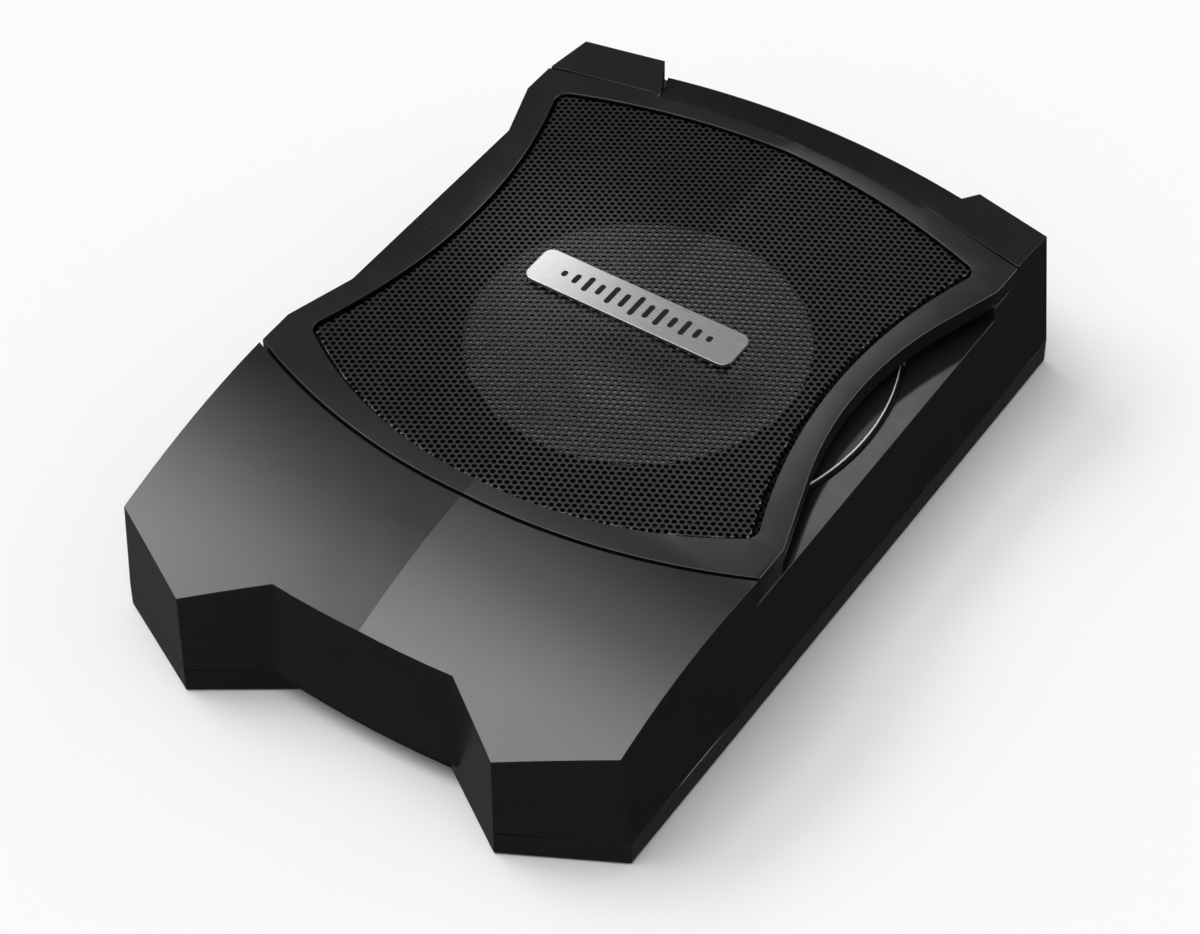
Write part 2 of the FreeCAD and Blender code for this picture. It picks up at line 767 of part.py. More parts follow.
badge_y = cell("badge_y", 28.8)
badge_z = cell("badge_z", 76.35)
badge_long = cell("badge_long", 94.5)
badge_wide = cell("badge_wide", 19.5)
badge_thick = cell("badge_thick", 1.5)
badge_stud_x = cell("badge_stud_x", 36.0)


def make_mesh_and_badge():
    sheet_blank = common("mesh_blank", opening_prism("mesh_prism", mesh_margin),
                         skin("mesh_skin", mesh_drop, mesh_thick))
    studs = [(side * badge_stud_x, badge_y) for side in (1, -1)]
    holes = [rod("mesh_hole", (x, y, 68), 1.7, 12) for x, y in studs]
    named(cut("grille_mesh", sheet_blank, *holes), "grille_mesh")

    plate = body_of("badge_block")
    plan = sketch_on(plate, "XY_Plane", "badge_plan", badge_z)
    x, y = badge_long / 2, badge_wide / 2
    loop(plan, [(-x, badge_y - y), (x, badge_y - y), (x, badge_y + y), (-x, badge_y + y)])
    block = pad(plate, plan, badge_thick)
    doc.recompute()
    upright = [f"Edge{number + 1}" for number, edge in enumerate(block.Shape.Edges)
               if abs(edge.tangentAt(edge.FirstParameter).z) > 0.99]
    rounding = plate.newObject("PartDesign::Fillet", "badge_corners")
    rounding.Base = (block, upright)
    rounding.Radius = 4.2
    legs = [rod("badge_stud", (x, y, badge_z - 5.4), 1.4, 5.5) for x, y in studs]
    named(group("badge_plate", [plate] + legs), "badge_plate")
    clips = [tube("badge_clip", (x, y, badge_z - 4.4), 3.5, 1.42, 0.6) for x, y in studs]
    named(group("badge_clips", clips), "badge_clips")


# ---------------------------------------------------------------- driver

def make_driver_fixed():
    top = flange_z + flange_thick
    basket = turned("basket_bowl", [
        (24.0, 26.0), (50.0, 26.0), (54.5, 32.5), (62.5, 32.5), (86.5, 52.0), (88.0, flange_z),
        (ring_radius - 0.1, flange_z), (ring_radius - 0.1, top), (84.6, top), (84.6, 53.0),
        (61.8, 34.1), (53.5, 34.1), (49.0, 27.6), (24.0, 27.6)])
    port = sketch_on(basket, "XY_Plane", "basket_port", 30)
    loop(port, [(-17.0, -82.0), (17.0, -82.0), (13.0, -66.5), (-13.0, -66.5)],
         {0: (85.0, 1), 2: (66.0, -1)})
    first = pocket(basket, port, 21, up=True)
    polar(basket, first, 6)
    holes = [driver_hole("flange_hole", index, 50, 2.2, 20) for index in range(8)]
    named(cut("driver_basket", basket, *holes), "driver_basket")

    gasket = turned("gasket_ring", [(89.5, recess_z), (103.5, recess_z), (103.5, flange_z),
                                    (89.5, flange_z)])
    holes = [driver_hole("gasket_hole", index, 50, 2.2, 20) for index in range(8)]
    named(cut("basket_gasket", gasket, *holes), "basket_gasket")

    ring = turned("ring_blank", [(92.5, top), (ring_radius, top), (ring_radius, top + 0.6),
                                 (ring_radius - 0.8, top + 1.4), (93.2, top + 1.4),
                                 (92.5, top + 0.7)])
    holes = [driver_hole("ring_hole", index, 50, 2.2, 20) for index in range(8)]
    named(cut("trim_ring", ring, *holes), "trim_ring")
    seats = [(*driver_spot(index), top + 1.4) for index in range(8)]
    screw_set("driver_screws", seats, (0, 0, -1), (3.4, 2.2), (2.0, 6.0))

    named(turned("magnet_top_plate", [(22.3, 22.0), (46.0, 22.0), (46.0, 26.0), (22.3, 26.0)]),
          "magnet_top_plate")
    named(turned("magnet", [(27.0, 10.5), (49.2, 10.5), (50.0, 11.3), (50.0, 21.2),
                            (49.2, 22.0), (27.0, 22.0)]), "magnet")
    named(turned("back_plate", [(5.0, 5.5), (44.5, 5.5), (46.0, 7.0), (46.0, 10.5),
                                (18.6, 10.5), (18.6, 25.6), (17.8, 26.4), (5.0, 26.4)]),
          "back_plate")


def make_driver_moving():
    inner = coil_radius
    named(turned("voice_coil_former", [(inner, 17.0), (inner + 0.3, 17.0), (inner + 0.3, 44.0),
                                       (inner, 44.0)]), "voice_coil_former")
    named(turned("voice_coil_winding", [(inner + 0.3, 18.0), (inner + 1.5, 18.0),
                                        (inner + 1.5, 30.0), (inner + 0.3, 30.0)]),
          "voice_coil_winding")
    named(turned("cone", [(inner + 0.3, 40.6), (71.5, 57.0), (73.4, 57.0), (73.4, 58.2),
                          (71.3, 58.2), (inner + 0.3, 41.9)]), "cone")
    named(turned("dust_cap", [(0, 51.3), (0, 50.5), (2.0, 50.5), (26.4, 43.9), (27.6, 44.3),
                              (2.0, 51.3)], {2: (54.0, -1), 4: (55.0, 1)}), "dust_cap")

    lip = flange_z + flange_thick
    named(turned("surround", [(69.0, 58.3), (73.6, 58.3), (73.8, 59.4), (87.0, 60.9),
                              (86.4, lip), (91.8, lip), (91.8, 61.0), (88.2, 61.0),
                              (72.8, 59.2), (69.0, 59.2)],
                 {2: (7.6, -1), 7: (8.6, 1)}), "surround")

    wave = [(22.6, 34.2), (27.0, 36.2), (31.4, 34.2), (35.8, 36.2), (40.2, 34.2), (44.6, 36.2),
            (49.0, 34.2), (53.5, 34.2), (60.8, 34.2)]
    thick = 0.6
    upper = [(radius, z + thick) for radius, z in reversed(wave)]
    ring = [(inner + 0.35, 35.2)] + wave + upper + [(inner + 0.35, 35.2 + thick)]
    named(turned("spider", ring), "spider")


def wire_path(spots):
    """Straight runs through the spots, joined by tangent arcs."""
    edges = []
    at = spots[0]
    for before, here, after in zip(spots, spots[1:], spots[2:]):
        inward = (before - here).normalize()
        onward = (after - here).normalize()
        reach = 0.45 * min((before - here).Length, (after - here).Length)
        start, stop = here + inward * reach, here + onward * reach
        half_turn = inward.getAngle(onward) / 2
        radius = reach * math.tan(half_turn)
        centre = here + (inward + onward).normalize() * (reach / math.cos(half_turn))
        middle = centre + (here - centre).normalize() * radius
        edges.append(Part.LineSegment(at, start).toShape())
        edges.append(Part.Arc(start, middle, stop).toShape())
        at = stop
    edges.append(Part.LineSegment(at, spots[-1]).toShape())
    return Part.Wire(edges)


def bent_wires(label, runs, radius):
    """Round wires, one solid each: every run is an x place and its (y, z) points."""
    solids = []
    for x, path in runs:
        spots = [Vector(size(x).value, size(y).value, size(z).value) for y, z in path]
        section = Part.Wire(Part.makeCircle(radius, spots[0], spots[1] - spots[0]))
        solids.append(wire_path(spots).makePipeShell([section], True, False))
    feature = doc.addObject("Part::Feature", label)
    feature.Shape = Part.makeCompound(solids)
    return named(feature, label)


def make_driver_wiring():
    y = driver_y - 74.6
    block = box("terminal_block", (-13, y - 4, 33), (26, 4, 5.6))
    tabs = [box("terminal_tab", (side * 8 - 2.4, y - 8.5, 35), (4.8, 13.5, 0.8))
            for side in (1, -1)]
    arm = box("terminal_arm", (-5, y, 33), (10, 9.0, 1.9))
    named(group("driver_terminals", [block, arm] + tabs), "driver_terminals")
    bent_wires("tinsel_leads", [
        (side * 8, [(y + 1.0, 36.8), (y + 8, 40.0), (y + 20, 43.5), (y + 30, 47.4)])
        for side in (1, -1)], 0.7)
    bent_wires("speaker_wires", [
        (side * 8, [(y - 5, 34.0), (y - 14, 29.0), (y - 26, 20.0), (y - 28, 10.8)])
        for side in (1, -1)], 1.0)


# ---------------------------------------------------------------- amplifier

board_low = cell("board_low", 9.0)
board_thick = cell("board_thick", 1.6)
board_half = cell("board_half", 92.0)
board_front_y = cell("board_front_y", -146.0)
board_rear_y = cell("board_rear_y", -70.0)
standoff_spots = both_sides([(86.0, -140.0), (86.0, -76.0), (24.0, -76.0)])


def make_amplifier():
    top = board_low + board_thick
    base = foot_height + floor_thick
    board = box("board_blank", (-board_half, board_front_y, board_low),
                (board_half * 2, board_rear_y - board_front_y, board_thick))
    holes = [rod("board_hole", (x, y, 0), 1.7, 20) for x, y in standoff_spots]
    named(cut("amp_board", board, *holes), "amp_board")
    posts = [cut("standoff", hexagon("standoff_hex", (x, y, base), 3.4, board_low - base),
                 rod("standoff_bore", (x, y, base + 1), 1.5, 10)) for x, y in standoff_spots]
    named(group("board_standoffs", posts), "board_standoffs")
    screw_set("board_screws", [(x, y, top) for x, y in standoff_spots], (0, 0, -1),
              (2.8, 1.8), (1.45, 5.0))

    bar = box("heat_bar", (-80, board_front_y + 0.2, top), (160, 3.4, 22))
    foot = box("heat_foot", (-80, board_front_y + 0.2, top), (160, 9, 2.4))
    named(group("heat_spreader", [bar, foot]), "heat_spreader")
    bodies = []
    for number in range(8):
        x = -70 + 20 * number - 5
        y = board_front_y + 3.6
        bodies.append(group("transistor", [
            box("transistor_tab", (x, y, top + 5), (10, 1.3, 15)),
            box("transistor_case", (x, y + 1.3, top + 5), (10, 3.3, 9))]))
    named(group("power_transistors", bodies), "power_transistors")

    named(tube("toroid_transformer", (-56, -106, top), 20, 9, 17), "toroid_transformer")
    cans = [rod("capacitor", (x, y, top), 8.0, 30)
            for x, y in ((-20, -118), (-2, -118), (16, -118), (-20, -98), (-2, -98), (16, -98))]
    named(group("filter_capacitors", cans), "filter_capacitors")
    coils = [tube("inductor", (x, -108, top), 11.5, 5, 13) for x in (42, 69)]
    named(group("output_inductors", coils), "output_inductors")
    chips = [box("chip", (x - 5, y - 3.2, top), (10, 6.4, 3.4))
             for x, y in ((40, -84), (58, -84), (-80, -84), (-62, -80), (-44, -80))]
    named(group("control_chips", chips), "control_chips")


def make_control_board():
    board = box("control_blank", (-61, board_back_y, 16), (122, board_thick, 38))
    named(board, "control_board")
    base = foot_height + floor_thick
    strip = body_of("ribbon_strip")
    line = sketch_on(strip, "YZ_Plane", "ribbon_profile", 52.0)
    front = board_rear_y + 2
    back = board_back_y - 1.4
    thick = 1.0
    points = [(front - 14, board_low - 0.2 - thick), (front, board_low - 0.2 - thick),
              (front + 6, base + 0.4), (back + thick, base + 0.4), (back + thick, 20.0),
              (back, 20.0), (back, base + 0.4 + thick), (front + 6.6, base + 0.4 + thick),
              (front + 0.4, board_low - 0.2), (front - 14, board_low - 0.2)]
    loop(line, points)
    pad(strip, line, 8.0)
    named(strip, "signal_ribbon")
    bent_wires("power_harness", [
        (x, [(board_rear_y - 8, 6.6), (board_rear_y + 20, 5.2), (board_back_y - 22, 5.2),
             (board_back_y - 6, 9.0), (board_back_y - 2.6, 16.0)])
        for x in (-52.0, -56.0, -60.0)], 1.5)


# ---------------------------------------------------------------- rear panel

panel_back = bay_y
panel_front = bay_y + panel_thick
gain_x = cell("gain_x", 57.0)
crossover_x = cell("crossover_x", 41.0)
knob_z = cell("knob_z", 42.5)
switch_z = cell("switch_z", 26.5)
rca_x = cell("rca_x", 4.0)
rca_pitch = cell("rca_pitch", 16.0)
rca_z = cell("rca_z", 35.0)
socket_x = cell("socket_x", -46.0)
fuse_x = cell("fuse_x", -20.0)
remote_x = cell("remote_x", 26.0)
led_x = cell("led_x", 26.0)
rearward = (0, 1, 0)


def rear_box(name, x, z, wide, tall, start, stop):
    """A box centred on (x, z) of the panel that runs from start to stop along Y."""
    return box(name, (size(x) - size(wide) / 2, start, size(z) - size(tall) / 2),
               (wide, size(stop) - size(start), tall))


def make_rear_panel():
    plate = body_of("panel_block")
    plan = sketch_on(plate, "XZ_Plane", "panel_plan", -panel_back)
    loop(plan, [(-panel_half, panel_low), (panel_half, panel_low), (panel_half, panel_high),
                (-panel_half, panel_high)])
    pad(plate, plan, panel_thick, down=True)
    start = panel_back - 3
    stop = panel_front + 3
    holes = [rod("panel_screw_hole", (x, start, z), 1.7, 10, rearward)
             for x, z in panel_spots()]
    holes += [rod("knob_hole", (x, start, knob_z), 3.7, 10, rearward)
              for x in (gain_x, crossover_x)]
    holes += [rear_box("slider_slot", x, switch_z, 8.4, 4.4, start, stop)
              for x in (gain_x, crossover_x)]
    holes += [rod("rca_hole", (rca_x + offset * rca_pitch / 2, start, rca_z), 5.2, 10, rearward)
              for offset in (1, -1)]
    holes.append(rear_box("socket_hole", socket_x, rca_z, 33.4, 17.4, start, stop))
    holes.append(rear_box("fuse_hole", fuse_x, rca_z, 15.4, 23.4, start, stop))
    holes.append(rear_box("remote_hole", remote_x, switch_z, 13.4, 12.4, start, stop))
    holes.append(rod("led_hole", (led_x, start, knob_z), 2.1, 10, rearward))
    named(cut("rear_panel", plate, *holes), "rear_panel")
    seats = [(x, panel_front, z) for x, z in panel_spots()]
    screw_set("panel_screws", seats, (0, -1, 0), (2.6, 1.8), (1.2, 6.0))


def make_rotary(label, x):
    """A potentiometer behind the panel and its knob in front."""
    front = board_back_y + board_thick
    case = rear_box(label + "_case", x, knob_z, 11, 11, front, panel_back - 2.6)
    bush = rod(label + "_bush", (x, panel_back - 2.6, knob_z), 3.4, 4.2, rearward)
    bore = rod(label + "_bore", (x, panel_back - 7.6, knob_z), 1.56, 20, rearward)
    named(cut(label + "_pot", group(label + "_pot_solid", [case, bush]), bore), label + "_pot")

    knob = body_of(label + "_knob_block", panel_front)
    for axis, length in (("x", x), ("z", knob_z)):
        bind(knob, f"Placement.Base.{axis}", length)
    face = sketch_on(knob, "XZ_Plane", label + "_knob_plan", -0.6)
    circle(face, 0, 0, 5.5)
    pad(knob, face, 8.0, down=True)
    flute = sketch_on(knob, "XZ_Plane", label + "_flute", -8.6)
    circle(flute, 0, 6.0, 1.0)
    cutter = pocket(knob, flute, 6.0, up=False)
    pattern = knob.newObject("PartDesign::PolarPattern", label + "_flutes")
    axes = [axis for axis in knob.Origin.OriginFeatures if axis.Role == "Y_Axis"]
    pattern.Originals = [cutter]
    pattern.Axis = (axes[0], [""])
    pattern.Angle = 360
    pattern.Occurrences = 12
    knob.Tip = pattern
    shaft = rod(label + "_shaft", (x, panel_back - 6.6, knob_z), 1.5, 10.2, rearward)
    named(group(label + "_knob", [knob, shaft]), label + "_knob")


def make_switch(label, x):
    """A two-position slide switch; its lever stands in the panel's slot."""
    front = board_back_y + board_thick
    case = rear_box(label + "_case", x, switch_z, 13, 7, front, panel_back - 0.4)
    slot = rear_box(label + "_slot", x, switch_z, 8.4, 3.4, panel_back - 4.4, panel_back + 1)
    named(cut(label + "_switch", case, slot), label + "_switch")
    lever = rear_box(label + "_lever", size(x) - 1.9, switch_z, 4.2, 3.2, panel_back - 4.3,
                     panel_front + 1.4)
    grooves = [rear_box(label + "_groove", size(x) - 1.9 + offset, switch_z, 0.5, 3.4,
                        panel_front + 0.9, panel_front + 2) for offset in (-1.2, 0, 1.2)]
    named(cut(label + "_slider", lever, *grooves), label + "_slider")


def make_connectors():
    front = board_back_y + board_thick
    barrels = []
    for offset in (1, -1):
        x = rca_x + offset * rca_pitch / 2
        seat = rear_box("rca_block", x, rca_z, 12, 14, front, panel_back - 0.3)
        collar = rod("rca_collar", (x, panel_back - 0.3, rca_z), 5.0, panel_thick + 0.8, rearward)
        barrel = rod("rca_barrel", (x, panel_front + 0.5, rca_z), 4.15, 9.0, rearward)
        bore = rod("rca_bore", (x, panel_front + 1.0, rca_z), 1.6, 9.0, rearward)
        barrels.append(cut("rca", group("rca_solid", [seat, collar, barrel]), bore))
    named(group("rca_jacks", barrels), "rca_jacks")

    shroud = rear_box("socket_block", socket_x, rca_z, 33, 17, front, panel_front + 1.0)
    cavity = rear_box("socket_cavity", socket_x, rca_z, 29, 13, panel_front - 9.0,
                      panel_front + 2)
    holes = [rear_box("pin_hole", socket_x + column * 7.0, rca_z + row * 3.0, 1.3, 1.3,
                      front - 1, panel_front) for column in (-1.5, -0.5, 0.5, 1.5)
             for row in (1, -1)]
    named(cut("power_socket", shroud, cavity, *holes), "power_socket")
    pins = [rear_box("pin", socket_x + column * 7.0, rca_z + row * 3.0, 1.2, 1.2,
                     front, panel_front - 1.5) for column in (-1.5, -0.5, 0.5, 1.5)
            for row in (1, -1)]
    named(group("power_pins", pins), "power_pins")

    jack = rear_box("remote_block", remote_x, switch_z, 13, 12, front, panel_front + 0.6)
    mouth = rear_box("remote_mouth", remote_x, switch_z - 0.6, 9.8, 6.8, panel_front - 9.0,
                     panel_front + 2)
    notch = rear_box("remote_notch", remote_x, switch_z + 3.6, 3.4, 2.4, panel_front - 6,
                     panel_front + 2)
    named(cut("remote_jack", jack, mouth, notch), "remote_jack")

    holder = rear_box("holder_block", fuse_x, rca_z, 15, 23, front, panel_front + 0.8)
    slots = [rear_box("fuse_slot", fuse_x, rca_z + row * 5.6, 12.4, 4.6, panel_front - 8,
                      panel_front + 2) for row in (1, -1)]
    named(cut("fuse_holder", holder, *slots), "fuse_holder")
    blades = []
    for row in (1, -1):
        z = rca_z + row * 5.6
        blades.append(group("fuse", [
            rear_box("fuse_cap", fuse_x, z, 12.0, 4.2, panel_front - 0.6, panel_front + 4.4),
            rear_box("fuse_core", fuse_x, z, 9.0, 2.6, panel_front - 8, panel_front - 0.6)]))
    named(group("fuses", blades), "fuses")

    lens = rod("led_stem", (led_x, front, knob_z), 1.5, panel_front - front + 0.6, rearward)
    cap = rod("led_body", (led_x, panel_back - 5, knob_z), 2.0, panel_thick + 5.2, rearward)
    named(group("led_lens", [lens, cap]), "led_lens")


make_top_cover()
make_bottom_shell()
make_grille_frame()
make_mesh_and_badge()
make_driver_fixed()
make_driver_moving()
make_driver_wiring()
make_amplifier()
make_control_board()
make_rear_panel()
make_rotary("gain", gain_x)
make_rotary("crossover", crossover_x)
make_switch("phase", gain_x)
make_switch("level", crossover_x)
make_connectors()


# ---------------------------------------------------------------- check and write

doc.recompute()
for thing in doc.Objects:
    if "Invalid" in thing.State or "Error" in thing.State:
        raise RuntimeError(f"{thing.Label} failed: {thing.State}")
for part in parts:
    if part.Shape.isNull() or not part.Shape.isValid():
        raise RuntimeError(f"{part.Label} has no valid shape")

os.makedirs("parts", exist_ok=True)
for part in parts:
    part.Shape.exportStep(f"parts/{part.Label}.step")
print(len(parts), "sub-parts written")
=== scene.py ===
import bpy
import bmesh
import json
import math
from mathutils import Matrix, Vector
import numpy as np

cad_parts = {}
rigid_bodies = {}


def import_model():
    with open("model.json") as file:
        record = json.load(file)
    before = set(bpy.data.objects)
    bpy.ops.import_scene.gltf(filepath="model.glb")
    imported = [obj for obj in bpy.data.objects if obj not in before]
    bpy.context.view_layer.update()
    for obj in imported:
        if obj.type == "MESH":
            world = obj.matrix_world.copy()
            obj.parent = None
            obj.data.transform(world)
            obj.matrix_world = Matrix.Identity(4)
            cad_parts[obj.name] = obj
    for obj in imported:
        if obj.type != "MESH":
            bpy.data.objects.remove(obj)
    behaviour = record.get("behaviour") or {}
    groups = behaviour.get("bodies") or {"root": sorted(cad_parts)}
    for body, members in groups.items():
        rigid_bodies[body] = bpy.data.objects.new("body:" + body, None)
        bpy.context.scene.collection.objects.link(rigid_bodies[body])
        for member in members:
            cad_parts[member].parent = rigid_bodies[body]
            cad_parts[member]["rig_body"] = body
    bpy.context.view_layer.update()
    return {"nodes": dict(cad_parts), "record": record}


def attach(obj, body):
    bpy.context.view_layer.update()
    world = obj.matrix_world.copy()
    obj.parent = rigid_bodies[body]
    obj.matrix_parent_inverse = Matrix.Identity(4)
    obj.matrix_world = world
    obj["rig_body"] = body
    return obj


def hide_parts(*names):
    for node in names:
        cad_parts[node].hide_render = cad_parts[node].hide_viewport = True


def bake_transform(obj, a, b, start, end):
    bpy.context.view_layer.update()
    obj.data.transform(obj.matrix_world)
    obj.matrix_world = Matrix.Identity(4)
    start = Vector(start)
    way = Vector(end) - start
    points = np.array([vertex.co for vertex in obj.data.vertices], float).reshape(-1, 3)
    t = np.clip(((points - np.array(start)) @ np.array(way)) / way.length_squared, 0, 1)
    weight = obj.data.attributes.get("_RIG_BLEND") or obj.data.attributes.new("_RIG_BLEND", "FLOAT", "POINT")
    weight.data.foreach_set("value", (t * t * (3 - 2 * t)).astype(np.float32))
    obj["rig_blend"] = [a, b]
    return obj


# The looks of a compact powered car subwoofer: satin black castings with a crease on the
# centre line, a real perforated sheet over the driver, and the rear connection bay.

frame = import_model()
nodes = frame["nodes"]
scene = bpy.context.scene
MM = 0.001
TO_MM = 1000


# ---------------------------------------------------------------- shapes shared by the pieces

ROOF_PEAK = 77.6
NOSE_TOP = 76.5
NOSE_Y = -63.5
NOSE_RADIUS = 286.0
BARREL_RADIUS = 7000.0
BARREL_Y = NOSE_Y + 126.5
CROWN_SLOPE = 0.031
MESH_DROP = 1.42
MESH_THICK = 0.95
PITCH = 2.87
HOLE_RADIUS = 1.06
DIP = 1.8
DIP_START = 4.4
DIP_RUN = 1.1
# How much wider the pressed border is at the right, rear, left and front.
DIP_EXTRA = (0.3, 0.0, -1.2, 1.7)
PARTING = 12.0
POST_FRONT = 130.0


def roof(x, y):
    """Height of the crowned roof in millimetres."""
    if y < NOSE_Y:
        z = NOSE_TOP - NOSE_RADIUS + math.sqrt(NOSE_RADIUS ** 2 - (y - NOSE_Y) ** 2)
    else:
        z = ROOF_PEAK - (y - BARREL_Y) ** 2 / (2 * BARREL_RADIUS)
    return z - CROWN_SLOPE * abs(x)


def arc_centre(start, stop, radius, side):
    """Centre of the arc from start to stop that bows left (1) or right (-1) of the way."""
    chord = stop - start
    left = Vector((-chord.y, chord.x)).normalized()
    away = math.sqrt(radius * radius - (chord.length / 2) ** 2)
    return (start + stop) / 2 - left * side * away


def circle_side(start, stop, radius, side):
    """Centre, radius and side of the arc that bows right (1) or left (-1) of its travel."""
    return arc_centre(Vector(start), Vector(stop), radius, -side), radius, side


# The sheet's outline is four arcs, and reaches under the frame by the margin.
MARGIN = 2.9
right_front = (102.4 + MARGIN, -46.5 - MARGIN)
right_rear = (99.8 + MARGIN, 122.0 + MARGIN)
left_rear = (-right_rear[0], right_rear[1])
left_front = (-right_front[0], right_front[1])
sheet_sides = [circle_side(right_front, right_rear, 233.0, -1),
               circle_side(right_rear, left_rear, 290.0, 1),
               circle_side(left_rear, left_front, 233.0, -1),
               circle_side(left_front, right_front, 171.0, 1)]


def outside(x, y, allowance=(0.0, 0.0, 0.0, 0.0)):
    """How far a point lies outside the sheet's outline, and the way back in."""
    worst = (-1e9, None)
    for (centre, radius, side), extra in zip(sheet_sides, allowance):
        way = Vector((x, y)) - centre
        far = (way.length - radius) * side + extra
        if far > worst[0]:
            worst = (far, way.normalized() * side)
    return worst


def ease(share):
    """Smooth step from 0 to 1, held beyond both ends."""
    share = min(1.0, max(0.0, share))
    return share * share * (3 - 2 * share)


# ---------------------------------------------------------------- materials

# A noise texture seldom leaves this span.
NOISE_SPAN = (0.3, 0.7)


class Wiring:
    """The node tree of a material or a world, with short words for joining its nodes."""

    def __init__(self, owner):
        owner.use_nodes = True
        self.nodes = owner.node_tree.nodes
        self.links = owner.node_tree.links

    def join(self, operation, *factors):
        """Combine sockets or plain numbers, two at a time, with one operation."""
        total = factors[0]
        for factor in factors[1:]:
            node = self.nodes.new("ShaderNodeMath")
            node.operation = operation
            for socket, item in zip(node.inputs, (total, factor)):
                if isinstance(item, float):
                    socket.default_value = item
                else:
                    self.links.new(item, socket)
            total = node.outputs["Value"]
        return total

    def axes(self, vector):
        """The X, Y and Z of a vector socket, by name."""
        split = self.nodes.new("ShaderNodeSeparateXYZ")
        self.links.new(vector, split.inputs["Vector"])
        return split.outputs

    def spread(self, source, low, high, start, stop, kind="LINEAR"):
        """Map a factor from start..stop to low..high, held beyond both ends."""
        if start > stop:
            start, stop, low, high = stop, start, high, low
        node = self.nodes.new("ShaderNodeMapRange")
        node.interpolation_type = kind
        node.inputs["From Min"].default_value = start
        node.inputs["From Max"].default_value = stop
        node.inputs["To Min"].default_value = low
        node.inputs["To Max"].default_value = high
        self.links.new(source, node.inputs["Value"])
        return node.outputs["Result"]


